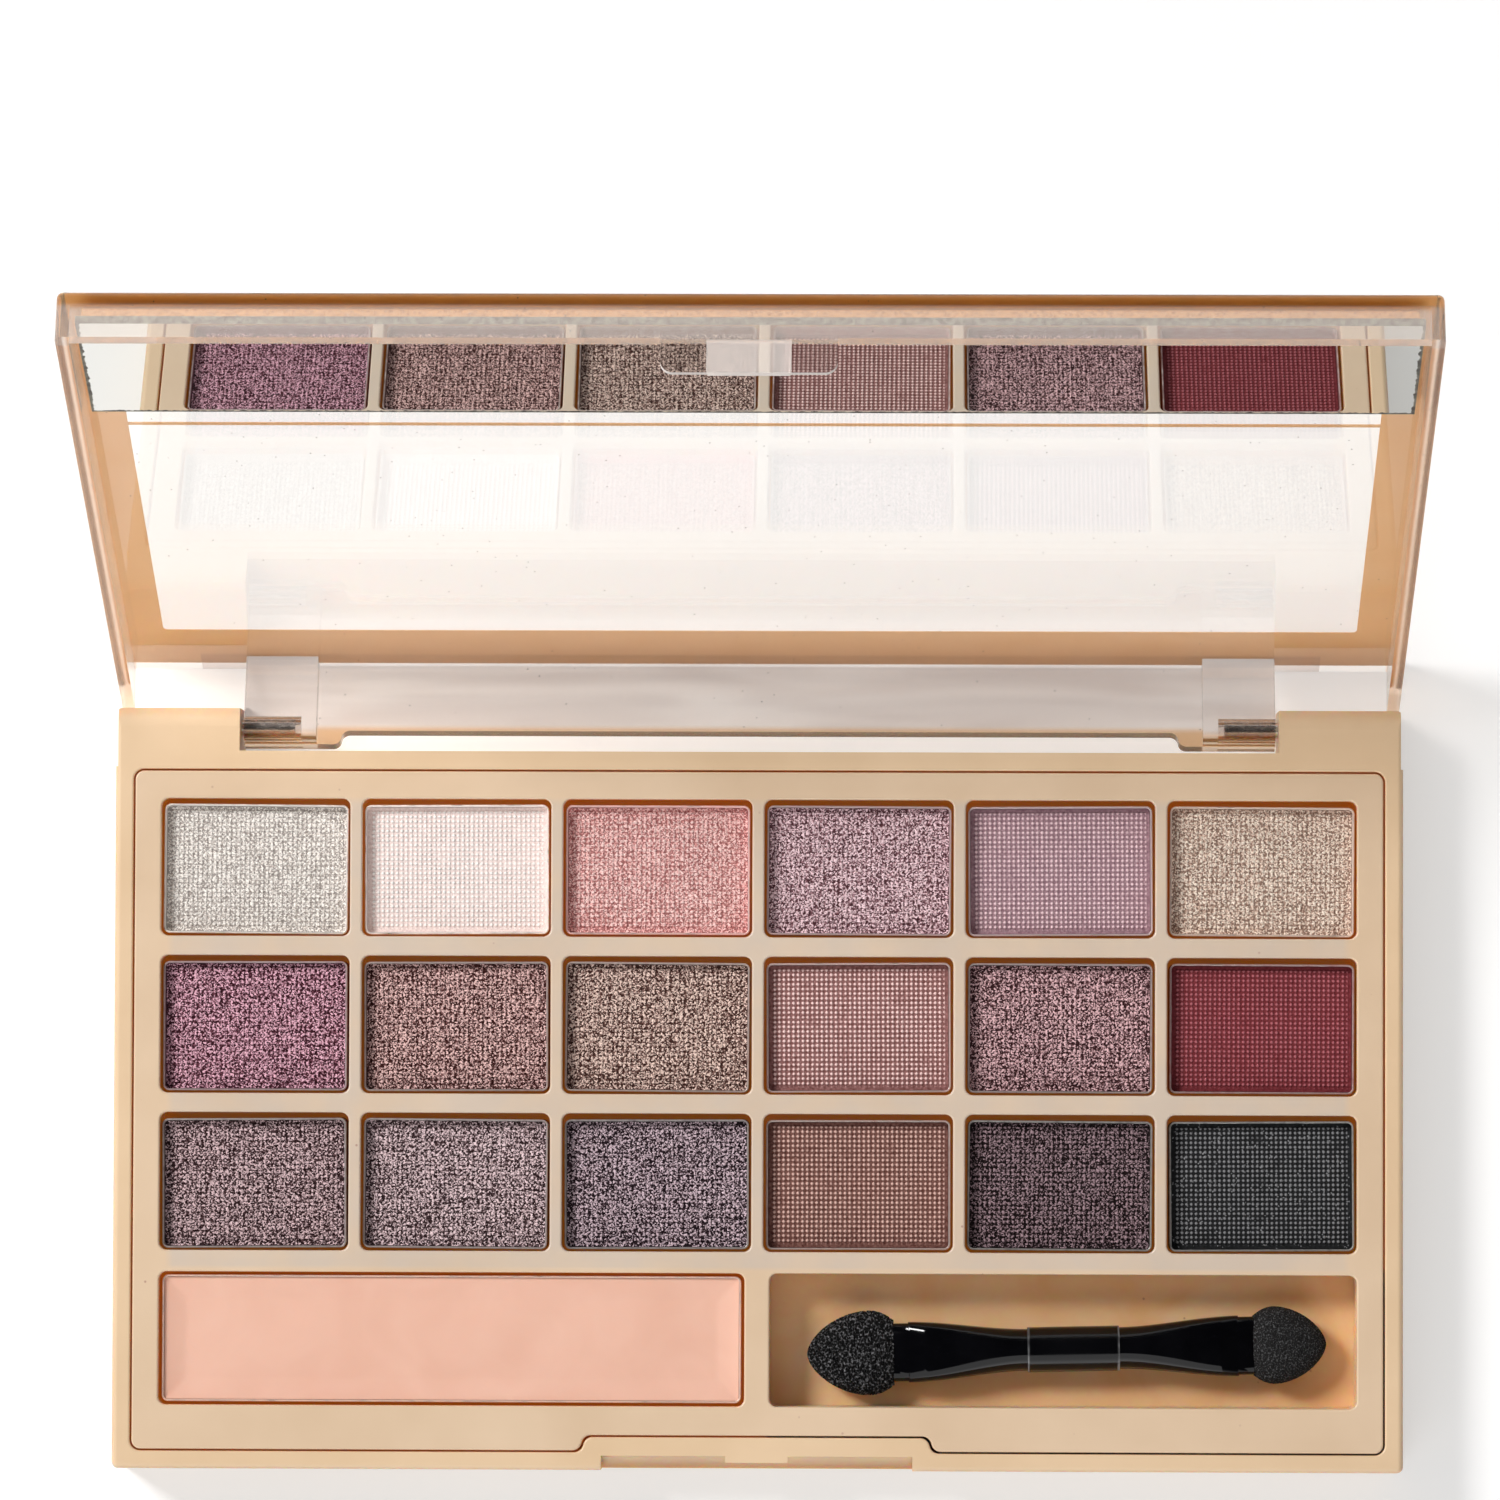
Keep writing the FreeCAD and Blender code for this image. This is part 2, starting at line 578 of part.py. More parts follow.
def make_hinge_bar(body):
    """A wall down from the plate's rear edge, deeper near its ends, where the knuckle blocks stand."""
    foot_inner = f"({BAR_HALF} - bar_foot)"
    foot = "(-knuckle_radius)"
    middle = "(-bar_drop)"
    rise = "(knuckle_radius - bar_drop)"
    bend = f"((bar_sweep ^ 2 + {rise} ^ 2) / (4 * {rise}))"
    half_way = f"(({foot} + {middle}) / 2)"
    sweep_end = f"({foot_inner} - bar_sweep)"
    wall = new_sketch(body, "bar", "XZ_Plane", "(-knuckle_radius)")
    outline(wall, [
        corner(f"(-{BAR_HALF})", foot),
        corner(f"(-{foot_inner})", foot, centre=(f"(-{foot_inner})", f"({foot} + {bend})")),
        corner(f"(-{foot_inner} + bar_sweep / 2)", half_way, fix="x",
               centre=(f"(-{sweep_end})", f"({middle} - {bend})"), left_turn=False),
        corner(f"(-{sweep_end})", middle, fix="x"),
        corner(sweep_end, middle, centre=(sweep_end, f"({middle} - {bend})"), left_turn=False),
        corner(f"({foot_inner} - bar_sweep / 2)", half_way, fix="x", centre=(foot_inner, f"({foot} + {bend})")),
        corner(foot_inner, foot, fix="x"),
        corner(BAR_HALF, foot),
        corner(BAR_HALF, PLATE_TOP),
        corner(f"(-{BAR_HALF})", PLATE_TOP),
    ])
    extrude(body, "Pad", wall, "bar_thickness")
    for side, start, hole_start in (("left", f"(-{BAR_HALF})", f"(-{BAR_HALF} + {hole_depth()})"),
                                    ("right", f"({BAR_HALF} - block_length)", BAR_HALF)):
        block = new_sketch(body, f"{side}_block", "YZ_Plane", start)
        outline(block, [
            corner("(-knuckle_radius)", "0", centre=("0", "0")),
            corner("knuckle_radius", "0", fix="y"),
            corner("knuckle_radius", f"({PLATE_INSIDE} + plate_thickness / 2)"),
            corner("(-knuckle_radius)", f"({PLATE_INSIDE} + plate_thickness / 2)"),
        ])
        extrude(body, "Pad", block, "block_length")
        hole = new_sketch(body, f"{side}_hole", "YZ_Plane", hole_start)
        ring(hole, "0", "0", "(pin_radius + pin_play)")
        extrude(body, "Pocket", hole, hole_depth())
    # the rear edge on top is rounded, so that the open lid clears the table
    heel = new_sketch(body, "heel", "YZ_Plane")
    rear = "knuckle_radius"
    outline(heel, [
        corner(rear, f"({PLATE_TOP} - bar_edge)", centre=(f"({rear} - bar_edge)", f"({PLATE_TOP} - bar_edge)")),
        corner(f"({rear} - bar_edge)", PLATE_TOP, fix="x"),
        corner(f"({rear} - bar_edge)", f"({PLATE_TOP} + {SPARE})"),
        corner(f"({rear} + {SPARE})", f"({PLATE_TOP} + {SPARE})"),
        corner(f"({rear} + {SPARE})", f"({PLATE_TOP} - bar_edge)"),
    ])
    extrude(body, "Pocket", heel, f"(2 * {BAR_HALF} + {SPARE})", symmetric=True)


def hole_depth():
    """Depth of a knuckle's blind hole: past the end of the pin by a little."""
    return "(pin_reach - bar_gap + pin_end_gap)"


def make_tongue(body):
    """The lip that drops into the latch recess, with a thicker middle facing the catch."""
    bottom = f"({RIM} - tongue_drop)"
    sketch = new_sketch(body, "tongue", "XZ_Plane", LID_REACH)
    outline(sketch, [
        corner("(-tongue_half + tongue_corner)", bottom, fix="x"),
        corner("(tongue_half - tongue_corner)", bottom,
               centre=("(tongue_half - tongue_corner)", f"({bottom} + tongue_corner)")),
        corner("tongue_half", f"({bottom} + tongue_corner)", fix="y"),
        corner("tongue_half", PLATE_INSIDE),
        corner("(-tongue_half)", PLATE_INSIDE),
        corner("(-tongue_half)", f"({bottom} + tongue_corner)",
               centre=("(-tongue_half + tongue_corner)", f"({bottom} + tongue_corner)")),
    ])
    extrude(body, "Pad", sketch, "tongue_thickness", backward=True)
    hook = new_sketch(body, "hook", "XZ_Plane", LID_REACH)
    rectangle(hook, "(-hook_half)", "hook_half", bottom, PLATE_INSIDE)
    extrude(body, "Pad", hook, "(latch_depth - catch_reach - hook_gap)", backward=True)


def make_lid_print():
    """The printed border film on the lid: a frame, with a thin line near the front of its window."""
    body = new_body("lid_print")
    film = new_sketch(body, "film", "XY_Plane", PLATE_TOP)
    rounded_rectangle(film, f"(-{BASE_HALF} + film_margin)", f"({BASE_HALF} - film_margin)",
                      f"(-{LID_REACH} + film_margin)", "(plate_back - film_margin)", "window_corner")
    extrude(body, "Pad", film, "film_thickness")
    windows = new_sketch(body, "windows", "XY_Plane", LID_TOP)
    strip_front = f"({MIRROR_REAR} - strip_gap)"
    strip_back = f"({strip_front} - strip_width)"
    side = f"({BASE_HALF} - window_side)"
    for front, back in ((strip_front, strip_back), (f"({strip_back} - line_width)", "window_back")):
        rounded_rectangle(windows, f"(-{side})", side, f"(-{front})", f"(-{back})", "window_corner")
    extrude(body, "Pocket", windows, "film_thickness")
    place_in_lid(body)


def make_mirror():
    """A strip of mirror glass that leans a little on a wedge of foam tape."""
    rear_face = f"({PLATE_INSIDE} - tape_rear)"
    front_face = f"({PLATE_INSIDE} - tape_front)"
    mirror = new_body("lid_mirror")
    section = new_sketch(mirror, "section", "YZ_Plane")
    outline(section, [
        corner(f"(-{MIRROR_FRONT})", front_face),
        corner(f"(-{MIRROR_FRONT})", f"({front_face} - mirror_thickness)"),
        corner(f"(-{MIRROR_REAR})", f"({rear_face} - mirror_thickness)"),
        corner(f"(-{MIRROR_REAR})", rear_face),
    ])
    extrude(mirror, "Pad", section, f"(2 * {MIRROR_HALF})", symmetric=True)
    place_in_lid(mirror)

    tape = new_body("mirror_tape")
    wedge = new_sketch(tape, "wedge", "YZ_Plane")
    slope = "((tape_front - tape_rear) / mirror_depth)"
    outline(wedge, [
        corner(f"(-{MIRROR_FRONT} + tape_inset)", PLATE_INSIDE),
        corner(f"(-{MIRROR_FRONT} + tape_inset)", f"({front_face} + tape_inset * {slope})"),
        corner(f"(-{MIRROR_REAR} - tape_inset)", f"({rear_face} - tape_inset * {slope})"),
        corner(f"(-{MIRROR_REAR} - tape_inset)", PLATE_INSIDE),
    ])
    extrude(tape, "Pad", wedge, f"(2 * ({MIRROR_HALF} - tape_inset))", symmetric=True)
    place_in_lid(tape)


def place_in_well(thing):
    """Applicator pieces are drawn along X from the middle of the sleeve and lie in the right well."""
    height = f"({BASE_HEIGHT} - {FRONT_WELL_DEPTH} + sleeve_radius + rest_gap)"
    place(thing, SLEEVE_X, f"({FRONT_ROW} - applicator_shift)", height, angle="applicator_turn")


def oval(name, x, half_width, half_thickness):
    """An upright ellipse across the applicator's axis."""
    ellipse = doc.addObject("Part::Ellipse", name)
    bind(ellipse, "MajorRadius", half_width)
    bind(ellipse, "MinorRadius", half_thickness)
    ellipse.Placement = Placement(Vector(measure(x), 0, 0), Rotation(Vector(1, 1, 1), 120))
    bind(ellipse, "Placement.Base.x", x)
    return ellipse


def loft(name, sections):
    """A solid through a row of upright ellipses: distance along the axis, half width, half thickness."""
    solid = doc.addObject("Part::Loft", name)
    solid.Sections = [oval(f"{name}_{number}", *section) for number, section in enumerate(sections)]
    solid.Solid = True
    return solid


def make_applicator():
    """A middle sleeve, a black wand plugged into each end of it, and a foam tip on each wand."""
    sleeve = new_body("applicator_sleeve")
    tube = new_sketch(sleeve, "tube", "YZ_Plane")
    ring(tube, "0", "0", "sleeve_radius")
    ring(tube, "0", "0", "(sleeve_radius - sleeve_wall)")
    extrude(sleeve, "Pad", tube, "sleeve_length", symmetric=True)
    place_in_well(sleeve)
    for side, way in (("left", "-1"), ("right", "1")):
        make_wand(side, way)
        make_sponge(side, way)


def along(way, distance):
    """A place on the applicator's axis, counted outward from the end of the sleeve."""
    return f"({way} * (sleeve_length / 2 + {distance}))"


def make_wand(side, way):
    """Round at the sleeve, wider and flatter outward, with a thin flat tab that carries the foam tip."""
    plug = doc.addObject("Part::Cylinder", f"plug_{side}")
    bind(plug, "Radius", "(sleeve_radius - sleeve_wall)")
    bind(plug, "Height", "(sleeve_length / 2)")
    place(plug, "0" if way == "1" else "(-sleeve_length / 2)", "0", "0", Vector(0, 1, 0), "90")
    handle = loft(f"handle_{side}", [
        (along(way, "0"), "wand_radius", "wand_radius"),
        (along(way, f"{WAND_LENGTH} / 3"), "((5 * wand_radius + flare_half) / 6)", "wand_radius"),
        (along(way, f"2 * {WAND_LENGTH} / 3"), "((2 * wand_radius + flare_half) / 3)",
         "((wand_radius + flare_thick) / 2)"),
        (along(way, WAND_LENGTH), "flare_half", "flare_thick"),
    ])
    tab = loft(f"tab_{side}", [
        (along(way, WAND_LENGTH), "(flare_half - tab_step)", "tab_thick"),
        (along(way, f"({WAND_LENGTH} + tab_length)"), "(flare_half - tab_step)", "tab_thick"),
    ])
    wand = doc.addObject("Part::MultiFuse", f"wand_{side}")
    wand.Label = f"wand_{side}"
    wand.Shapes = [plug, handle, tab]
    place_in_well(wand)
    sub_parts.append(wand)


def make_sponge(side, way):
    """A rounded triangle of foam, broad near the wand and narrow at its tip."""
    length = f"sponge_{side}_length"
    half = f"sponge_{side}_half"
    start = f"{WAND_LENGTH} + tab_length"
    # share of the length, share of the half width and share of the half thickness
    stations = ((0.0, 0.80, 0.70), (0.12, 0.95, 0.88), (0.30, 1.0, 1.0), (0.55, 0.89, 0.97),
                (0.80, 0.62, 0.80), (0.94, 0.36, 0.52), (1.0, 0.16, 0.26))
    sponge = loft(f"sponge_{side}", [
        (along(way, f"{start} + {share} * {length}"), f"({wide} * {half})", f"({thick} * sponge_thick)")
        for share, wide, thick in stations
    ])
    sponge.Label = f"sponge_{side}"
    place_in_well(sponge)
    sub_parts.append(sponge)


def check_document():
    """Stop before anything is written if an object failed or a sub-part is not a sound solid."""
    for item in doc.Objects:
        if {"Invalid", "Error"} & set(item.State):
            raise RuntimeError(f"{item.Label} failed: {item.State}")
    for part in sub_parts:
        if part.Shape.isNull() or not part.Shape.isValid() or len(part.Shape.Solids) != 1:
            raise RuntimeError(f"{part.Label} is not one sound solid")


make_base_shell()
make_pan_tray()
make_pans()
make_hinge_pins()
make_lid_shell()
make_lid_print()
make_mirror()
make_applicator()
doc.recompute()
check_document()

os.makedirs("parts", exist_ok=True)
for part in sub_parts:
    part.Shape.exportStep(f"parts/{part.Label}.step")
print(f"{len(sub_parts)} sub-parts written")
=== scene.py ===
# %% [markdown]
# # An open make-up palette in plastic, aluminium, powder and glass
#
# The palette is about as large as a paperback: a tan base with eighteen small pans of pressed powder,
# a long pan of cream, a double-ended foam applicator, and a clear lid with a mirror strip. The rigid
# pieces come from a CAD model at their true size and place. Blender adds what CAD leaves out: the
# finish of each surface, and the shapes of the soft and crumbly pieces.

# %% Load the measured parts
import math

import bpy
import numpy as np
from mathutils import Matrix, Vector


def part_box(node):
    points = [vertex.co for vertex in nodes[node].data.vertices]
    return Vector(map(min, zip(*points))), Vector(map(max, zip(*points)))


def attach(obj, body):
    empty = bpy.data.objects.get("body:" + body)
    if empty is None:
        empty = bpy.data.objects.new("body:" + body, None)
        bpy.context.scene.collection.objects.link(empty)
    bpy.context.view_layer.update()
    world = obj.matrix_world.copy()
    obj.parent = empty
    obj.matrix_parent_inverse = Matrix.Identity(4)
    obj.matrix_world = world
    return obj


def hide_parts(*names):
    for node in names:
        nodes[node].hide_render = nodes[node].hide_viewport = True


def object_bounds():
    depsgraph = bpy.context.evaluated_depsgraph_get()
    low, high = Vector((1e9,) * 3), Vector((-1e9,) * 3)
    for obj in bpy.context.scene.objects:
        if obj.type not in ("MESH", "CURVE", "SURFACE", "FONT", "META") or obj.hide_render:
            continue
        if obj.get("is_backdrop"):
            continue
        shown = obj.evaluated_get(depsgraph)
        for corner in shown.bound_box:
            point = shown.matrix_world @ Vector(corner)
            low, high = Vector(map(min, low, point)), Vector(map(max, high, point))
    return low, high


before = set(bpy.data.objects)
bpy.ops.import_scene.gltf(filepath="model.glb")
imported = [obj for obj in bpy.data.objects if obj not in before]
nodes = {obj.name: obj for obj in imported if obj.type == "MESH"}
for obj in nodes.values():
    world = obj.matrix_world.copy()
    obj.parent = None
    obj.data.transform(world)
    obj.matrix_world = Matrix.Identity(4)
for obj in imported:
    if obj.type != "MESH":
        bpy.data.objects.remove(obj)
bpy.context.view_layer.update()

# %% [markdown]
# ## The camera
#
# The palette is seen almost straight from above, from about a metre away, through a long lens. Such a
# lens flattens the picture, so the base stays a rectangle and only the upright lid shows its height.

# %% Camera
MM = 0.001
LENS = 195.81                               # mm, on a sensor of 36 mm
CAMERA_PLACE = (16.445, 0.794, 1022.65)     # mm
CAMERA_TURN = (2.34, 0.984, 0.201)          # degrees about X, Y and Z

camera_data = bpy.data.cameras.new("overhead_camera")
camera_data.sensor_width = 36.0
camera_data.lens = LENS
camera = bpy.data.objects.new("overhead_camera", camera_data)
camera.location = tuple(place * MM for place in CAMERA_PLACE)
camera.rotation_euler = tuple(math.radians(turn) for turn in CAMERA_TURN)
bpy.context.scene.collection.objects.link(camera)
bpy.context.scene.camera = camera
print("camera height in metres:", round(camera.location.z, 3))

# %% [markdown]
# ## Colours and nodes
#
# Colours are easiest to write as sRGB hex values, the way a paint program shows them. Shaders count in
# linear light, so one function converts them. A second small function adds a node, sets its options and
# joins its sockets, which keeps each material below short enough to read as a recipe. Two more start an
# empty material, and put a finished one on a piece of the CAD model.


# %% Helpers for every material
def linear(code):
    """An sRGB hex code in linear light: a thirteenth near black, a power of 2.4 above that."""
    share = np.array([int(code[start:start + 2], 16) for start in (1, 3, 5)]) / 255
    curve = np.where(share <= 0.04045, share / 12.92, ((share + 0.055) / 1.055) ** 2.4)
    return (*curve.tolist(), 1.0)


def add(tree, kind, links=None, stops=(), **options):
    """Add a node: options are its own settings, and links give a socket a value or another node's output.

    A whole node as a link stands for the first of its outputs that is in use.
    """
    made = tree.nodes.new("ShaderNode" + kind)
    for option, value in options.items():
        setattr(made, option, value)
    for number, (place, colour) in enumerate(stops):
        ramp = made.color_ramp.elements
        stop = ramp[number] if number < len(ramp) else ramp.new(place)
        stop.position = place
        stop.color = linear(colour)
    for socket, value in (links or {}).items():
        if isinstance(value, bpy.types.Node):
            value = next(output for output in value.outputs if output.enabled)
        if isinstance(value, bpy.types.NodeSocket):
            tree.links.new(value, made.inputs[socket])
        else:
            made.inputs[socket].default_value = value
    return made


def new_finish(name):
    """An empty material, its node tree and its Object coordinates, which are metres in the shared frame."""
    finish = bpy.data.materials.new(name)
    finish.use_nodes = True
    finish.node_tree.nodes.clear()
    return finish, finish.node_tree, add(finish.node_tree, "TexCoord").outputs["Object"]


def dress(node, finish):
    """Give a CAD node its finish in every slot."""
    for slot in nodes[node].material_slots:
        slot.material = finish


print("tan in linear light:", [round(part, 3) for part in linear("#e3c6a4")[:3]])

# %% [markdown]
# ## Light and table
#
# The palette stands in a white light tent. One lamp stands high on the left and behind, small enough that
# the rim of each pan throws a clear shadow on the powder, and the back lies in the lid's soft shade.
# A broad card in front lights the inside of the lid, and black plastic shows it as a dim band with a
# clear edge. The white tent fills the rest. Its roof, where the camera looks in, is dark, and that keeps
# black plastic black. The table is white paper: it keeps the soft shadow, and some light of its own for
# camera, mirror and glass rays brings the lit part of it up to plain white.

# %% Lamps


def soft_lamp(name, place, size, watts):
    """A square soft lamp, turned toward the palette. Place and size are in metres."""
    data = bpy.data.lights.new(name, "AREA")
    data.shape = "SQUARE"
    data.size = size
    data.energy = watts
    lamp = bpy.data.objects.new(name, data)
    lamp.location = place
    lamp.rotation_euler = (-lamp.location).to_track_quat("-Z", "Y").to_euler()
    bpy.context.scene.collection.objects.link(lamp)
    print(name, "gives", watts, "watts")


soft_lamp("softbox", place=(-0.9, 0.65, 1.0), size=0.35, watts=17.5)
soft_lamp("front_card", place=(-0.2, -1.05, 0.65), size=1.5, watts=9.0)

# %% Light tent
SKY_LIGHT = 0.28            # strength of the tent as a lamp
ROOF = 0.03                 # strength of its roof for the eye, where its walls have 1
ROOF_EDGE = (0.35, 0.6)     # sine of a ray's slope where the walls end and where the roof starts


def seen_rays(tree):
    """1 for rays from the camera, off a mirror or through glass, 0 for rays that carry light."""
    path = add(tree, "LightPath")
    straight = add(tree, "Math", {0: path.outputs["Is Camera Ray"], 1: path.outputs["Is Glossy Ray"]},
                   operation="MAXIMUM")
    return add(tree, "Math", {0: straight, 1: path.outputs["Is Transmission Ray"]}, operation="MAXIMUM")


sky = bpy.data.worlds.new("light_tent")
bpy.context.scene.world = sky
sky.use_nodes = True
tree = sky.node_tree
tree.nodes.clear()
ray = add(tree, "TexCoord").outputs["Generated"]
rise = add(tree, "SeparateXYZ", {0: ray}).outputs["Z"]
walls = add(tree, "MapRange", {0: rise, 1: ROOF_EDGE[0], 2: ROOF_EDGE[1], 3: 1.0, 4: ROOF})
strength = add(tree, "Mix", {0: seen_rays(tree), 2: SKY_LIGHT, 3: walls})
glow = add(tree, "Background", {"Color": (1, 1, 1, 1), "Strength": strength})
add(tree, "OutputWorld", {"Surface": glow})
bpy.context.scene.view_settings.view_transform = "Standard"
print("sky light:", SKY_LIGHT)

# %% Paper table
PAPER_LIFT = 0.42           # light of the paper's own, for the rays that see it
TABLE_HALF = 1.5            # metres
TABLE_TOP = -0.02 * MM      # a hair below the base, so that no two faces coincide

paper, tree, _ = new_finish("white_paper")
lift = add(tree, "Math", {0: seen_rays(tree), 1: PAPER_LIFT}, operation="MULTIPLY")
shader = add(tree, "BsdfPrincipled", {"Base Color": linear("#d3d2d1"), "Roughness": 0.9,
                                      "Specular IOR Level": 0.0, "Emission Color": (1, 1, 1, 1),
                                      "Emission Strength": lift})
add(tree, "OutputMaterial", {"Surface": shader})

table_mesh = bpy.data.meshes.new("paper_table")
corners = [(x * TABLE_HALF, y * TABLE_HALF, TABLE_TOP) for x, y in ((-1, -1), (1, -1), (1, 1), (-1, 1))]
table_mesh.from_pydata(corners, [], [(0, 1, 2, 3)])
table_mesh.materials.append(paper)
table = bpy.data.objects.new("paper_table", table_mesh)
bpy.context.scene.collection.objects.link(table)
table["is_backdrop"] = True
print("table top at", TABLE_TOP / MM, "mm")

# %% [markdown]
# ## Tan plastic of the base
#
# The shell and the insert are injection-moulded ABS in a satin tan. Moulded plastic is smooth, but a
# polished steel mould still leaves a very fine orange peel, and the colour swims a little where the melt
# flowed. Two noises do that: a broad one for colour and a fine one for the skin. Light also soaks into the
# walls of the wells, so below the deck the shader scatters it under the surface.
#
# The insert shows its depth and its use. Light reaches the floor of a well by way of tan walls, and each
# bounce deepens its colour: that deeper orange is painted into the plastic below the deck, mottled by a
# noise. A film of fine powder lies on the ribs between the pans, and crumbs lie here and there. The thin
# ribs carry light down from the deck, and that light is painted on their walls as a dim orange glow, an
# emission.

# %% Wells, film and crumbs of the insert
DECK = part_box("pan_tray")[1].z
# the wells get a painted bounce colour, a deeper orange tan below the deck, in patches of this width
BOUNCE_PATCH = 11.0          # mm, width of the paler patches in the wells
FILM = 6.0            # mm, width of the patches in the powder film
FILM_SIDE = 73.5      # mm from the middle to the sides of the film
FILM_REAR = 36.2      # mm, its rear edge
CRUMB = 3.2           # mm, about the distance between crumbs
CRUMB_AREA = 20.0     # mm, width of the areas that have crumbs
ROWS_FRONT = -22.5    # mm, front edge of the three rows of wells
CREAM_SIDE = 1.5      # mm, right edge of the long well
# painted glow: an emission on the rib walls stands in for light carried down from the deck
PAINTED_GLOW = 0.14           # strength of the light that leaves the walls of the ribs


def painted_bounce_colour(tree, where, level, colour):
    """Painted bounce light: a deeper orange tan, mottled by a noise, comes in between 0.6 and 3.5 mm below
    the deck.
    """
    # painted bounce light: the deeper orange of light that reaches the wells off tan walls
    depth = add(tree, "MapRange", {0: level, 1: DECK - 0.6 * MM, 2: DECK - 3.5 * MM, 3: 0.0, 4: 0.7})
    bounce_noise = add(tree, "TexNoise", {"Vector": where, "Scale": 1000 / BOUNCE_PATCH, "Detail": 3.0,
                                   "Distortion": 0.8})
    wear_and_bounce = add(tree, "ValToRGB", {0: bounce_noise}, stops=((0.35, "#e8b070"), (0.72, "#f0ca9a")))
    return add(tree, "Mix", {0: depth, 6: colour, 7: wear_and_bounce}, data_type="RGBA")


def powder_film(tree, where, spot, behind, colour):
    """Grey powder over a quarter to a half of the plastic, by a noise, fading over 1 mm at its limits."""
    patchy = add(tree, "TexNoise", {"Vector": where, "Scale": 1000 / FILM, "Detail": 3.0})
    film = add(tree, "MapRange", {0: patchy, 1: 0.35, 2: 0.65, 3: 0.28, 4: 0.52})
    aside = add(tree, "Math", {0: spot.outputs["X"]}, operation="ABSOLUTE")
    for place, far in ((aside, FILM_SIDE), (spot.outputs["Y"], FILM_REAR)):
        near = add(tree, "MapRange", {0: place, 1: far * MM, 2: (far - 1) * MM})
        film = add(tree, "Math", {0: film, 1: near}, operation="MULTIPLY")
    film = add(tree, "Math", {0: film, 1: behind}, operation="MULTIPLY")
    return add(tree, "Mix", {0: film, 6: colour, 7: linear("#c6bdb6")}, data_type="RGBA")


def brushed_out(tree, where, colour):
    """Crumbs of powder: small spots round the middles of cells, in areas where a broad noise is high."""
    cell = add(tree, "TexVoronoi", {"Vector": where, "Scale": 1000 / CRUMB})
    near = add(tree, "MapRange", {0: cell.outputs["Distance"], 1: 0.06, 2: 0.03, 3: 0.0, 4: 0.6})
    area = add(tree, "TexNoise", {"Vector": where, "Scale": 1000 / CRUMB_AREA})
    some = add(tree, "MapRange", {0: area, 1: 0.52, 2: 0.62})
    spots = add(tree, "Math", {0: near, 1: some}, operation="MULTIPLY")
    return add(tree, "Mix", {0: spots, 6: colour, 7: linear("#a06a60")}, data_type="RGBA")


def painted_rib_glow(tree, spot, behind, inside):
    """Strength of the painted glow, an emission: on walls below the deck, round the pans and the long well
    only.
    """
    left = add(tree, "MapRange", {0: spot.outputs["X"], 1: CREAM_SIDE * MM, 2: (CREAM_SIDE - 1) * MM})
    close = add(tree, "Math", {0: behind, 1: left}, operation="MAXIMUM")
    thin = add(tree, "Math", {0: inside, 1: close}, operation="MULTIPLY")
    return add(tree, "Math", {0: thin, 1: PAINTED_GLOW}, operation="MULTIPLY")


print("deck at", round(DECK / MM, 2), "mm")

# %% Moulded ABS
FLOW = 14.0           # mm, width of the cloudy streaks in the melt
SKIN = 0.45           # mm, width of the orange peel


def moulded_abs(name, deep, pale, insert):
    """Satin tan plastic: soft clouding of the colour, a fine skin, and light scattered below the deck."""
    finish, tree, where = new_finish(name)
    spot = add(tree, "SeparateXYZ", {0: where})
    level = spot.outputs["Z"]
    inside = add(tree, "MapRange", {0: level, 1: DECK - 0.1 * MM, 2: DECK - 0.4 * MM})
    cloud = add(tree, "TexNoise", {"Vector": where, "Scale": 1000 / FLOW, "Detail": 3.0})
    colour = add(tree, "ValToRGB", {0: cloud}, stops=((0.3, deep), (0.7, pale)))
    skin = add(tree, "TexNoise", {"Vector": where, "Scale": 1000 / SKIN, "Detail": 2.0})
    bump = add(tree, "Bump", {"Strength": 0.25, "Distance": 0.02 * MM, "Height": skin})
    gloss = add(tree, "MapRange", {0: cloud, "To Min": 0.32, "To Max": 0.44})
    glow = {}
    if insert:
        behind = add(tree, "MapRange", {0: spot.outputs["Y"], 1: ROWS_FRONT * MM,
                                        2: (ROWS_FRONT + 0.5) * MM})
        # painted bounce light in the wells; the powder film and the crumbs after it are real
        colour = painted_bounce_colour(tree, where, level, colour)
        colour = powder_film(tree, where, spot, behind, colour)
        colour = brushed_out(tree, where, colour)
        # painted glow on the rib walls, an emission, though they are no lamp
        glow = {"Emission Color": linear("#d5761a"),
                "Emission Strength": painted_rib_glow(tree, spot, behind, inside)}
    shader = add(tree, "BsdfPrincipled", {"Base Color": colour, "Roughness": gloss, "IOR": 1.53,
                                          "Subsurface Weight": inside, "Subsurface Scale": 1.0 * MM,
                                          "Subsurface Radius": (1.0, 0.4, 0.1), "Normal": bump, **glow})
    add(tree, "OutputMaterial", {"Surface": shader})
    return finish


dress("base_shell", moulded_abs("moulded_abs_shell", "#e2c29c", "#eacba6", insert=False))
dress("pan_tray", moulded_abs("moulded_abs_insert", "#dcbf9f", "#e4c8a9", insert=True))
print("tan plastic on base_shell and pan_tray")

# %% [markdown]
# ## The sheet builder
#
# Powder, cream, ink, wands and foam tips are all one kind of shape: a grid of points, rows by columns, that
# is bent into place. A single function turns such a grid into a mesh. The grid may close round on itself
# like a tube, and its open ends are closed by one face each.

# %% From a grid of points to a piece
SHARP = 50.0          # degrees between two faces, from which their edge stays crisp


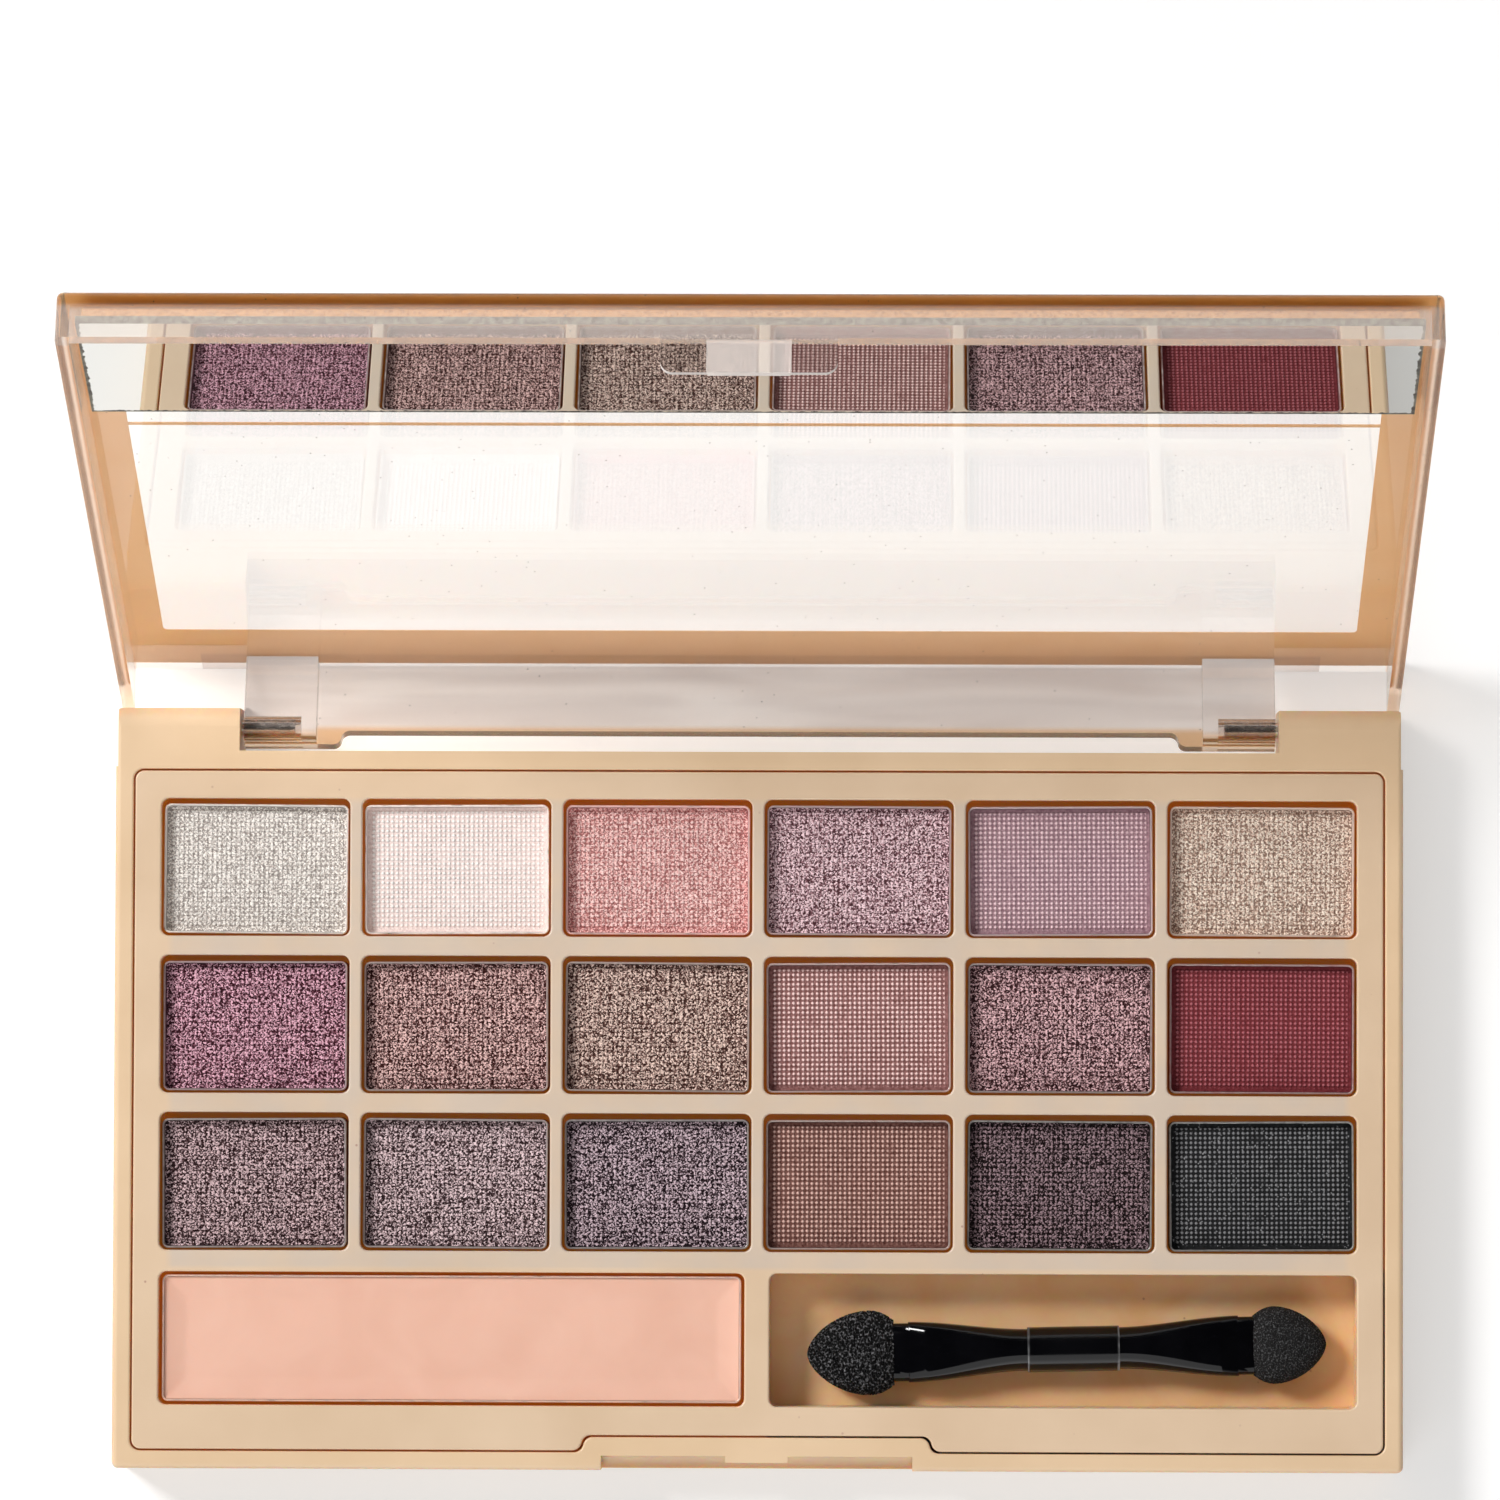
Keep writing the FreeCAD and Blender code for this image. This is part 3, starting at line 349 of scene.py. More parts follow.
def build(name, points, form, body, finish):
    """Make a mesh from a rows x columns x 3 array in millimetres and let it ride on a body.

    Quads join each point with its neighbours. A tube also joins the last column to the first and gets a
    face over each end, and a ring joins its ends instead. A sheet gets one face under its outermost ring.
    """
    rows, columns = points.shape[:2]
    number = np.arange(rows * columns).reshape(rows, columns)
    if form == "sheet":
        rim = np.concatenate([number[0, :-1], number[:-1, -1], number[-1, :0:-1], number[:0:-1, 0]])
        caps = [rim.tolist()]
        number = number[::-1]
    else:
        number = np.concatenate([number, number[:, :1]], axis=1)
        caps = [number[0, :-1][::-1].tolist(), number[-1, :-1].tolist()]
    if form == "ring":
        number = np.concatenate([number, number[:1]], axis=0)
        caps = []
    quads = np.stack([number[:-1, :-1], number[:-1, 1:], number[1:, 1:], number[1:, :-1]], axis=-1)
    mesh = bpy.data.meshes.new(name)
    mesh.from_pydata((points.reshape(-1, 3) * MM).tolist(), [], quads.reshape(-1, 4).tolist() + caps)
    mesh.polygons.foreach_set("use_smooth", np.ones(len(mesh.polygons), dtype=bool))
    mesh.set_sharp_from_angle(angle=math.radians(SHARP))
    mesh.materials.append(finish)
    piece = bpy.data.objects.new(name, mesh)
    bpy.context.scene.collection.objects.link(piece)
    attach(piece, body)
    return piece


def store(piece, name, values):
    """Keep one number per point of a piece, for its material to read."""
    field = piece.data.attributes.new(name, "FLOAT", "POINT")
    field.data.foreach_set("value", np.ascontiguousarray(values, dtype=np.float32).ravel())


def seat(node):
    """Middle, turn and half sizes in millimetres of a node that sits a little askew.

    The turn is the angle, of those up to two degrees, whose box around the points has the smallest area.
    """
    mesh = nodes[node].data
    spots = np.empty(len(mesh.vertices) * 3, dtype=np.float32)
    mesh.vertices.foreach_get("co", spots)
    spots = spots.reshape(-1, 3).astype(float) / MM
    turns = np.radians(np.linspace(-2.0, 2.0, 401))
    middle = (spots.min(axis=0) + spots.max(axis=0)) / 2
    flat = spots[:, :2] - middle[:2]
    along = np.outer(np.cos(turns), flat[:, 0]) + np.outer(np.sin(turns), flat[:, 1])
    across = np.outer(np.cos(turns), flat[:, 1]) - np.outer(np.sin(turns), flat[:, 0])
    best = np.argmin(np.ptp(along, axis=1) * np.ptp(across, axis=1))
    half_sizes = np.array([np.ptp(along[best]), np.ptp(across[best]), np.ptp(spots[:, 2])]) / 2
    return middle, turns[best], half_sizes


print("first cake sits at", [np.round(part, 3).tolist() for part in seat("powder_r1c1")])

# %% [markdown]
# ## The pressed powder cakes
#
# Each cake was pressed through a cloth that left a square grid of fine dots, 0.59 mm apart. It lies a
# little over a millimetre below the rim of its pan, so the rim shades its left and rear edge. The press is
# a little smaller than the pan, and a narrow plain margin climbs toward the wall all round. Margin, dots
# and a slow unevenness are real geometry. The grid has four lines to each dot, laid so that one of them
# meets the top. Each point also stores its place on the cake and its distance from the edge, for the
# material.

# %% The cake's surface
DOT = 0.587           # mm between the dots of the cloth
MARGIN = 0.45         # mm, width of the margin that climbs to the wall
DOTS_START = 0.3      # mm from the wall where the dots set in
DOTS_FULL = 0.55      # mm from the wall where they have their full height
HOLLOW = -0.5         # sum of the two sines below which a hollow is flat
TOP = 1.7             # sum of the two sines above which a dot is flat
PRESSED = {"step": DOT / 4, "margin": MARGIN, "climb": 0.12, "wave": 0.015, "rise": 0.09}    # all in mm


def grid_lines(half_length, step):
    """Places from one side to the other: close together at the wall, whole steps from the middle inside."""
    edge = half_length - np.array([0.0, 0.0, 0.1, 0.2, 0.3, 0.4])
    count = int(edge[-1] / step - 0.3)
    inner = step * np.arange(-count, count + 1)
    return np.concatenate([-edge, inner, edge[::-1]])


def cloth_dots(x, y, edge):
    """The print of the cloth, 0 in a hollow to 1: a sine each way, added and eased, none at the wall."""
    sines = np.sin(2 * np.pi * x / DOT) + np.sin(2 * np.pi * y / DOT)
    share = np.clip((sines - HOLLOW) / (TOP - HOLLOW), 0, 1)
    field = np.clip((edge - DOTS_START) / (DOTS_FULL - DOTS_START), 0, 1)
    return share ** 2 * (3 - 2 * share) * field


def cake_points(half_sizes, phase, step, margin, climb, wave, rise):
    """A sheet over the pan, folded down at its outer ring.

    Height = a climb that grows with the power 1.3 of the way into the margin, plus two slow waves that fade
    there, plus the dots of the cloth. The outermost ring repeats the ring inside it at the pan's floor.
    """
    x, y = np.meshgrid(grid_lines(half_sizes[0], step), grid_lines(half_sizes[1], step), indexing="ij")
    edge = np.minimum(half_sizes[0] - np.abs(x), half_sizes[1] - np.abs(y))
    ramp = np.clip(1 - edge / margin, 0, 1) ** 1.3
    sway = np.sin(0.55 * x + phase) * np.cos(0.8 * y + 2 * phase) + np.sin(0.3 * x - 0.5 * y + 3 * phase)
    z = half_sizes[2] - climb + climb * ramp + wave * sway * (1 - ramp) + rise * cloth_dots(x, y, edge)
    ring = np.zeros(x.shape, dtype=bool)
    ring[[0, -1], :] = True
    ring[:, [0, -1]] = True
    z[ring] = -half_sizes[2]
    return np.stack([x, y, z], axis=-1), edge


def settle(points, middle, turn):
    """Turn points about the upright axis and move them to their place."""
    x = points[..., 0] * math.cos(turn) - points[..., 1] * math.sin(turn)
    y = points[..., 0] * math.sin(turn) + points[..., 1] * math.cos(turn)
    return np.stack([x, y, points[..., 2]], axis=-1) + middle


def make_cake(node, finish, phase, surface):
    """Replace a CAD cake by a pressed or poured surface of the same place and size."""
    middle, turn, half_sizes = seat(node)
    points, edge = cake_points(half_sizes, phase, **surface)
    piece = build(node + "_pressed", settle(points, middle, turn), "sheet", "base", finish)
    store(piece, "edge_mm", edge)
    store(piece, "across_mm", points[..., 0])
    store(piece, "down_mm", points[..., 1])
    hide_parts(node)
    return piece


print("points in one cake:", cake_points(seat("powder_r1c1")[2], 0.0, **PRESSED)[1].size)

# %% [markdown]
# ## Matte, shimmer and glitter
#
# All shades are talc and pigment in a binder, and differ in what else is mixed in. Matte powder scatters
# light evenly. Shimmer holds mica flakes of a tenth to a third of a millimetre, each a tiny mirror, and the
# bright and dark grains that they show are painted into the colour, flake by flake. Glitter adds flakes
# with a painted glint in the lightest tone. The recipe is one function: dots from two sine waves, painted
# lighter on top and darker in the hollows as well as raised, soft grains from a noise, crisp flakes from
# cells.

# %% Pressed powder
GRAIN = 0.3           # mm, size of a soft grain
FLAKE = 0.15          # mm, size of a mica flake, drawn as coarse as it has to be to show
WEAR = 2.5            # mm, width of the patches where the dots are worn
DOT_BUMP = 0.18       # mm of bump besides the real dots: crisp flanks, which the mesh is too coarse for


def cloth_relief(tree, where):
    """The dots of cloth_dots once more, worn down to a half in patches, for the tone, where they paint a
    highlight on their tops and shade in the hollows, and for the bump.
    """
    waves = []
    for number in ("across_mm", "down_mm"):
        place = add(tree, "Attribute", attribute_name=number).outputs["Fac"]
        angle = add(tree, "Math", {0: place, 1: 2 * math.pi / DOT}, operation="MULTIPLY")
        waves.append(add(tree, "Math", {0: angle}, operation="SINE"))
    sines = add(tree, "Math", {0: waves[0], 1: waves[1]}, operation="ADD")
    raised = add(tree, "MapRange", {0: sines, 1: HOLLOW, 2: TOP}, interpolation_type="SMOOTHSTEP")
    edge = add(tree, "Attribute", attribute_name="edge_mm").outputs["Fac"]
    field = add(tree, "MapRange", {0: edge, 1: DOTS_START, 2: DOTS_FULL})
    patchy = add(tree, "TexNoise", {"Vector": where, "Scale": 1000 / WEAR, "Detail": 2.0})
    wear_and_bounce = add(tree, "MapRange", {0: patchy, 1: 0.3, 2: 0.55, 3: 0.5, 4: 1.0})
    shown = add(tree, "Math", {0: field, 1: wear_and_bounce}, operation="MULTIPLY")
    return add(tree, "Math", {0: raised, 1: shown}, operation="MULTIPLY")


def pressed_powder(name, dark, mid, light, shine, flakes):
    """Powder in three tones: shine goes from 0, matte, to 1, full shimmer, and flakes is the share of
    flakes with a painted glint.

    The tone is 0 for the dark colour, a half for the middle one and 1 for the light one. It is the sum of
    each flake's random tone, which paints the glint or shade of its mica, a soft grain, and the dots, which
    paint their tops lighter and their hollows darker. Shine gives the flakes more weight and the others
    less.
    """
    finish, tree, where = new_finish(name)
    relief = cloth_relief(tree, where)
    grain = add(tree, "TexNoise", {"Vector": where, "Scale": 1000 / GRAIN, "Detail": 3.0, "Roughness": 0.6})
    cell = add(tree, "TexVoronoi", {"Vector": where, "Scale": 1000 / FLAKE})
    flake_glint = add(tree, "SeparateColor", {0: cell.outputs["Color"]})
    # painted glints: each mica flake gets a random tone, lighter or darker, for the light it would catch
    tone = add(tree, "MapRange", {0: flake_glint.outputs["Red"], 3: 0.16 - 1.2 * shine, 4: 0.16 + 1.2 * shine})
    spread = 0.5 - 0.2 * shine
    soft = add(tree, "MapRange", {0: grain, 3: -spread, 4: spread}, clamp=False)
    tone = add(tree, "Math", {0: tone, 1: soft}, operation="ADD")
    # painted highlight and shade on the dots: the tone rises on their tops and falls in the hollows
    tone = add(tree, "Math", {0: relief, 1: 1.3 - 0.5 * shine, 2: tone}, operation="MULTIPLY_ADD")
    colour = add(tree, "ValToRGB", {0: tone}, stops=((0.0, dark), (0.5, mid), (1.0, light)))
    # painted glints: a share of the flakes takes the light tone
    painted_flash = add(tree, "Math", {0: flake_glint.outputs["Green"], 1: 1 - flakes}, operation="GREATER_THAN")
    colour = add(tree, "Mix", {0: painted_flash, 6: colour, 7: linear(light)}, data_type="RGBA")
    height = add(tree, "Math", {0: relief, 1: DOT_BUMP}, operation="MULTIPLY")
    rough = add(tree, "Math", {0: grain, 1: 0.06 + 0.1 * shine, 2: height}, operation="MULTIPLY_ADD")
    bump = add(tree, "Bump", {"Strength": 0.9, "Distance": MM, "Height": rough})
    shader = add(tree, "BsdfPrincipled", {"Base Color": colour, "Metallic": 0.2 * shine,
                                          "Roughness": 0.9 - 0.35 * shine, "Specular IOR Level": 0.15,
                                          "Normal": bump})
    add(tree, "OutputMaterial", {"Surface": shader})
    return finish


print("grains of", GRAIN, "mm and flakes of", FLAKE, "mm")

# %% Eighteen shades
# from the left of the row at the hinge: dark, middle and light tone, shine, share of flakes with a painted
# glint
SHADES = {
    "r1c1": ("#a39a94", "#e6ddd6", "#fffaf3", 0.7, 0.04),
    "r1c2": ("#dcc6c1", "#fff0ea", "#fffaf6", 0.0, 0.0),
    "r1c3": ("#a66a67", "#f0b3af", "#ffdcd7", 0.8, 0.05),
    "r1c4": ("#57343a", "#a97f86", "#ffe0e6", 0.9, 0.12),
    "r1c5": ("#84636d", "#bc9ba1", "#f7d6dc", 0.0, 0.0),
    "r1c6": ("#8d7263", "#dfc0ae", "#fff0e0", 0.8, 0.05),
    "r2c1": ("#35101b", "#7a4554", "#f4bfd0", 0.9, 0.06),
    "r2c2": ("#36120f", "#7c5452", "#f5cdc8", 0.9, 0.06),
    "r2c3": ("#3e221c", "#8a675f", "#f6dacd", 0.9, 0.06),
    "r2c4": ("#6c423e", "#ae817e", "#ffdbd6", 0.0, 0.0),
    "r2c5": ("#33171a", "#754f52", "#eec4c8", 0.9, 0.06),
    "r2c6": ("#632127", "#853d42", "#b66870", 0.0, 0.0),
    "r3c1": ("#271113", "#614649", "#e6c8cb", 0.9, 0.06),
    "r3c2": ("#2b181a", "#6d5558", "#f0d6d9", 0.9, 0.06),
    "r3c3": ("#180810", "#4a353c", "#dcc4cd", 0.9, 0.06),
    "r3c4": ("#542f28", "#926a61", "#e1b9ad", 0.0, 0.0),
    "r3c5": ("#100406", "#231212", "#a88d94", 0.6, 0.1),
    "r3c6": ("#151616", "#2d2d2f", "#868688", 0.0, 0.02),
}
for count, (place, (dark, mid, light, shine, flakes)) in enumerate(SHADES.items()):
    kind = "shimmer_powder_" if shine else "matte_powder_"
    shade = pressed_powder(kind + place, dark, mid, light, shine, flakes)
    phase = 1.7 * count     # gives each cake waves of its own
    make_cake("powder_" + place, shade, phase, PRESSED)
print("pressed cakes:", len(SHADES))

# %% [markdown]
# ## The aluminium pans
#
# The pans are drawn from thin aluminium sheet. New sheet is bright, but here powder has settled on the
# inside and on the rim, so each pan takes on the shade it holds. The recipe mixes bare metal and dust by a
# noise, and the dust is thicker below the rim, where nothing wipes it off.

# %% Dusted aluminium
PAN_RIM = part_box("pan_r1c1")[1].z
DUST = 1.1            # mm, width of the patches of dust


def dusted_aluminium(name, dust):
    """Drawn aluminium under a film of powder: bare metal shows in patches and along the rim."""
    finish, tree, where = new_finish(name)
    height = add(tree, "SeparateXYZ", {0: where}).outputs["Z"]
    film = add(tree, "TexNoise", {"Vector": where, "Scale": 1000 / DUST, "Detail": 4.0})
    low = add(tree, "MapRange", {0: height, 1: PAN_RIM - 0.6 * MM, 2: PAN_RIM, 3: 0.5, 4: 0.1})
    cover = add(tree, "Math", {0: film, 1: low}, operation="ADD", use_clamp=True)
    colour = add(tree, "Mix", {0: cover, 6: linear("#d8d5d0"), 7: linear(dust)}, data_type="RGBA")
    metal = add(tree, "MapRange", {0: cover, 1: 0.3, 2: 0.9, 3: 1.0, 4: 0.1})
    gloss = add(tree, "MapRange", {0: cover, 1: 0.3, 2: 0.9, 3: 0.25, 4: 0.8})
    shader = add(tree, "BsdfPrincipled", {"Base Color": colour, "Metallic": metal, "Roughness": gloss})
    add(tree, "OutputMaterial", {"Surface": shader})
    return finish


for place, (_, mid, *_) in SHADES.items():
    dress("pan_" + place, dusted_aluminium("dusted_aluminium_" + place, mid))
dress("primer_pan", dusted_aluminium("dusted_aluminium_primer", "#e8b8a2"))
print("rim of the pans at", round(PAN_RIM / MM, 2), "mm")

# %% [markdown]
# ## The cream
#
# The long pan holds a soft cream that was poured warm. It levels out almost flat, creeps up the wall by
# half a millimetre, and shrinks into very slow waves as it cools. Light enters it a little, so the
# shader lets some of it scatter under the surface.

# %% Poured cream
POURED = {"step": 0.35, "margin": 2.8, "climb": 0.55, "wave": 0.02, "rise": 0.0}    # all in mm
SWIRL = 9.0           # mm, width of the swirls in the colour
RIPPLE = 0.8          # mm, width of the unevenness of the skin

cream, tree, where = new_finish("poured_cream")
swirl = add(tree, "TexNoise", {"Vector": where, "Scale": 1000 / SWIRL, "Detail": 3.0, "Distortion": 0.6})
colour = add(tree, "ValToRGB", {0: swirl}, stops=((0.3, "#e9b69f"), (0.7, "#efbfa9")))
fine = add(tree, "TexNoise", {"Vector": where, "Scale": 1000 / RIPPLE, "Detail": 3.0})
bump = add(tree, "Bump", {"Strength": 0.3, "Distance": 0.04 * MM, "Height": fine})
shader = add(tree, "BsdfPrincipled", {"Base Color": colour, "Roughness": 0.5, "IOR": 1.45,
                                      "Subsurface Weight": 0.15, "Subsurface Radius": (1.0, 0.5, 0.3),
                                      "Subsurface Scale": 0.5 * MM, "Normal": bump})
add(tree, "OutputMaterial", {"Surface": shader})
make_cake("primer_cream", cream, phase=0.4, surface=POURED)
print("cream poured")

# %% [markdown]
# ## The clear lid
#
# The lid is moulded from clear polystyrene with an index of about 1.59, so it bends light strongly. The
# plate is polished. A border film is stuck on its outside, printed in warm tan ink, and a strip of mirror
# glass lies on foam tape along the front edge. The lid turns on two pins and stands 114 degrees open. Its
# pieces are easier to place when counted from the pins: across, then out along the plate, then up, away
# from the base when the lid is shut. Meshes get there by a turn about the hinge, and materials go back.

# %% Places on the lid
OPEN = math.radians(114.0)
pin_low, pin_high = (np.array(tuple(end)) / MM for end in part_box("hinge_pin_left"))
HINGE = (pin_low + pin_high) / 2


def on_lid(across, out, up):
    """Turn lid places about the hinge: y and z are mixtures of out and up by the opening angle."""
    y = HINGE[1] - out * math.cos(OPEN) + up * math.sin(OPEN)
    z = HINGE[2] + out * math.sin(OPEN) + up * math.cos(OPEN)
    return np.stack([across, y, z], axis=-1)


def lid_places(tree, where):
    """Distance from the middle, minus out, and up, for a material: moved to the hinge and turned shut."""
    moved = add(tree, "Mapping", {"Vector": where, "Location": (0.0, -HINGE[1] * MM, -HINGE[2] * MM)})
    shut = add(tree, "Mapping", {"Vector": moved, "Rotation": (OPEN, 0.0, 0.0)})
    across, inward, up = add(tree, "SeparateXYZ", {0: shut}).outputs
    side = add(tree, "Math", {0: across}, operation="ABSOLUTE")
    return side, inward, up


print("hinge axis at", np.round(HINGE[1:], 2).tolist(), "mm")

# %% [markdown]
# ## Bar and walls of the lid
#
# One material covers the whole lid, so its colour depends on the place. The thick bar at the hinge is seen
# edge on: milky like ice, with slow streaks along it, and with a painted reflection of the tan base on its
# face toward the base. The walls carry the colour of the ink, because light runs along inside them; that
# glow is painted into them, tan in the side walls and amber high on the front wall.

# %% Colour of the clear polystyrene
BAR = (-3.0, -2.2)              # mm inward, where the milky bar sets in and is full
BAR_HALF = 70.0                 # mm from the middle to the ends of the bar
PAST_PIN = 2.65                 # mm that a knuckle block goes on past the inner end of its pin
BLOCKS_END = -pin_high[0] - PAST_PIN
BAR_FOOT = (-1.5, 0.2)          # mm up, the lower face of the blocks and of the bar between them
STREAK = (30.0, 4.0)            # mm, length and width of the streaks
SIDE_WALL = (78.2, 78.6)        # mm from the middle, where the side walls set in and are full
FRONT_WALL = (-89.8, -90.2)     # mm inward, the same for the front wall
SKIRT = 4.2                     # mm up, the lower edge of the front wall
# painted glow of the ink on the clear front wall: the amber is light carried inside the wall
INK_GLOW_RISE = (8.2, 8.8)              # mm up, where the front wall turns from clear to amber

clear, tree, where = new_finish("clear_polystyrene")
side, inward, up = lid_places(tree, where)
bar, side_wall, front_wall, high = (
    add(tree, "MapRange", {0: place, 1: start * MM, 2: full * MM})
    for place, (start, full) in ((inward, BAR), (side, SIDE_WALL), (inward, FRONT_WALL), (up, INK_GLOW_RISE)))
middle, between = (add(tree, "Math", {0: side, 1: limit * MM}, operation="LESS_THAN")
                   for limit in (BAR_HALF, BLOCKS_END))
bar = add(tree, "Math", {0: bar, 1: middle}, operation="MULTIPLY")
drawn_out = add(tree, "Mapping", {"Vector": where,
                                  "Scale": (1000 / STREAK[0], 1000 / STREAK[1], 1000 / STREAK[1])})
streak = add(tree, "TexNoise", {"Vector": drawn_out, "Scale": 1.0, "Detail": 1.0, "Distortion": 0.6})
milky = add(tree, "ValToRGB", {0: streak}, stops=((0.3, "#dcd3cf"), (0.7, "#f2edea")))
foot = add(tree, "Mix", {0: between, 2: BAR_FOOT[0] * MM, 3: BAR_FOOT[1] * MM})
above = add(tree, "Math", {0: up, 1: foot}, operation="SUBTRACT")
# painted reflection: the face of the bar toward the base takes the tan of the base
low = add(tree, "MapRange", {0: above, 1: 0.6 * MM, 2: 0.0})
milky = add(tree, "Mix", {0: low, 6: milky, 7: linear("#dcb892")}, data_type="RGBA")
# painted glow: the clear side walls take the tan of the ink, carried by light inside them
tint = add(tree, "Mix", {0: side_wall, 6: linear("#fdfdfc"), 7: linear("#fbe0c8")}, data_type="RGBA")
skirt = add(tree, "Math", {0: up, 1: SKIRT * MM}, operation="GREATER_THAN")
front_wall = add(tree, "Math", {0: front_wall, 1: skirt}, operation="MULTIPLY")
# painted glow: the clear front wall is amber above the skirt, the ink's light carried inside it
painted_ink_glow = add(tree, "Mix", {0: high, 6: linear("#fbf7f2"), 7: linear("#ffe6ac")}, data_type="RGBA")
tint = add(tree, "Mix", {0: front_wall, 6: tint, 7: painted_ink_glow}, data_type="RGBA")
tint = add(tree, "Mix", {0: bar, 6: tint, 7: milky}, data_type="RGBA")
print("milky bar reaches", BAR_HALF, "mm to each side")

# %% [markdown]
# ## Polish, matt edges and lamps
#
# The plate has a mirror polish and a few specks of dust. The bar and the side walls are hazy. The cut edges
# of the tongue, the hook on it and the clear part of the front wall are a little matt and catch the light,
# so some chalky white is mixed in there. In Cycles a refracting piece throws a full shadow, so lamps pass
# through a Transparent shader instead: at each face about a tenth is lost head on, and all of it edge on.

# %% Surface of the clear polystyrene
SPECK = 2.4                     # mm, about the distance between specks of dust
WAVER = 25.0                    # mm, width of the unevenness of the polish
TONGUE_HALF = 10.4              # mm from the middle to the sides of the tongue
TONGUE_TOP = 4.1                # mm up
TONGUE_REAR = -85.0             # mm inward
HOOK_HALF = 4.9                 # mm from the middle to the sides of the hook

dust = add(tree, "TexVoronoi", {"Vector": where, "Scale": 1000 / SPECK})
speck = add(tree, "Math", {0: dust.outputs["Distance"], 1: 0.045}, operation="LESS_THAN")
tint = add(tree, "Mix", {0: speck, 6: tint, 7: linear("#8a8580")}, data_type="RGBA")
waver = add(tree, "TexNoise", {"Vector": where, "Scale": 1000 / WAVER, "Detail": 2.0})
polish = add(tree, "MapRange", {0: waver, "To Min": 0.0, "To Max": 0.03})
polish = add(tree, "Mix", {0: side_wall, 2: polish, 3: 0.2})
haze = add(tree, "Mix", {0: between, 2: 0.06, 3: 0.22})
gloss = add(tree, "Mix", {0: bar, 2: polish, 3: haze})
glass = add(tree, "BsdfPrincipled", {"Base Color": tint, "Roughness": gloss, "IOR": 1.59,
                                     "Transmission Weight": 1.0})

slim, hangs, ahead, hook = (
    add(tree, "Math", {0: place, 1: limit * MM}, operation="LESS_THAN") for place, limit in
    ((side, TONGUE_HALF), (up, TONGUE_TOP), (inward, TONGUE_REAR), (side, HOOK_HALF)))
tongue = add(tree, "Math", {0: slim, 1: hangs}, operation="MULTIPLY")
tongue = add(tree, "Math", {0: tongue, 1: ahead}, operation="MULTIPLY")
plate_normal = (0.0, -math.cos(OPEN), math.sin(OPEN))
facing = add(tree, "VectorMath", {0: add(tree, "TexCoord").outputs["Normal"], 1: plate_normal},
             operation="DOT_PRODUCT")
flatness = add(tree, "Math", {0: facing.outputs["Value"]}, operation="ABSOLUTE")
rim = add(tree, "MapRange", {0: flatness, 1: 0.9, 2: 0.5, 3: 0.0, 4: 0.85})
hook = add(tree, "Math", {0: hook, 1: 0.3}, operation="MULTIPLY")
matt = add(tree, "Math", {0: rim, 1: hook}, operation="MAXIMUM")
matt = add(tree, "Math", {0: matt, 1: tongue}, operation="MULTIPLY")
veil = add(tree, "MapRange", {0: high, 3: 0.2, 4: 0.0})
veil = add(tree, "Math", {0: front_wall, 1: veil}, operation="MULTIPLY")
matt = add(tree, "Math", {0: matt, 1: veil}, operation="MAXIMUM")
chalky = add(tree, "BsdfDiffuse", {"Color": linear("#f3ebe6")})
shader = add(tree, "MixShader", {0: matt, 1: glass, 2: chalky})

grazing = add(tree, "LayerWeight", {"Blend": 0.5}).outputs["Facing"]
steep = add(tree, "Math", {0: grazing, 1: 5.0}, operation="POWER")
shade = add(tree, "Mix", {0: steep, 6: linear("#f8f5f2"), 7: linear("#000000")}, data_type="RGBA")
passing = add(tree, "BsdfTransparent", {"Color": shade})
lamps = add(tree, "LightPath").outputs["Is Shadow Ray"]
lit = add(tree, "MixShader", {0: lamps, 1: shader, 2: passing})
add(tree, "OutputMaterial", {"Surface": lit})
dress("lid_shell", clear)
print("clear polystyrene on lid_shell")

# %% [markdown]
# ## The printed border
#
# The border is ink bonded to the outside of the plate. Inside the clear plastic no air lies between, so
# light that would otherwise be trapped by total reflection meets the ink instead, and the edges of the
# lid glow in its colour. A film that only touches the plate leaves that to chance, so this one starts a
# fiftieth of a millimetre inside the plate. It is thin enough to let light through, so the shader mixes in
# a translucent part. The border is a flat band carried round a loop.

# %% Tan ink
PLATE_FACE = 10.4               # mm above the hinge axis with the lid shut
SINK = 0.02                     # mm of the film inside the plate
FILM_RISE = 0.1                 # mm of it outside
CORNER = 0.6                    # mm, radius of the border's corners
BORDER = (79.2, -0.75, 91.32)   # mm: half length, near and far edge
WINDOW = (74.2, 8.2, 67.02)     # mm: the same for the bare part of the plate
LINE = (61.42, 62.02)           # mm out, the edges of a thin line across the window
LINE_STEPS = 60
MOTTLE = 6.0                    # mm, width of the clouds in the ink


def loop(half_length, near, far, radius):
    """A rounded rectangle: each corner's centre plus the radius times the cosine and sine of the turn."""
    turn = np.radians(90 * np.arange(4)[:, None] + np.linspace(0, 90, 9))
    across = (half_length - radius) * np.array([1, -1, -1, 1])[:, None] + radius * np.cos(turn)
    half_depth = (far - near) / 2 - radius
    out = (near + far) / 2 + half_depth * np.array([1, 1, -1, -1])[:, None] + radius * np.sin(turn)
    return np.stack([across, out], axis=-1).reshape(-1, 2)


def band_points(outer, inner, low, high):
    """A closed band: at each place of the loop four corners, outside and inside, below and above."""
    corners = [(outer, low), (outer, high), (inner, high), (inner, low)]
    return np.stack([on_lid(spots[:, 0], spots[:, 1], np.full(len(spots), level))
                     for spots, level in corners], axis=1)


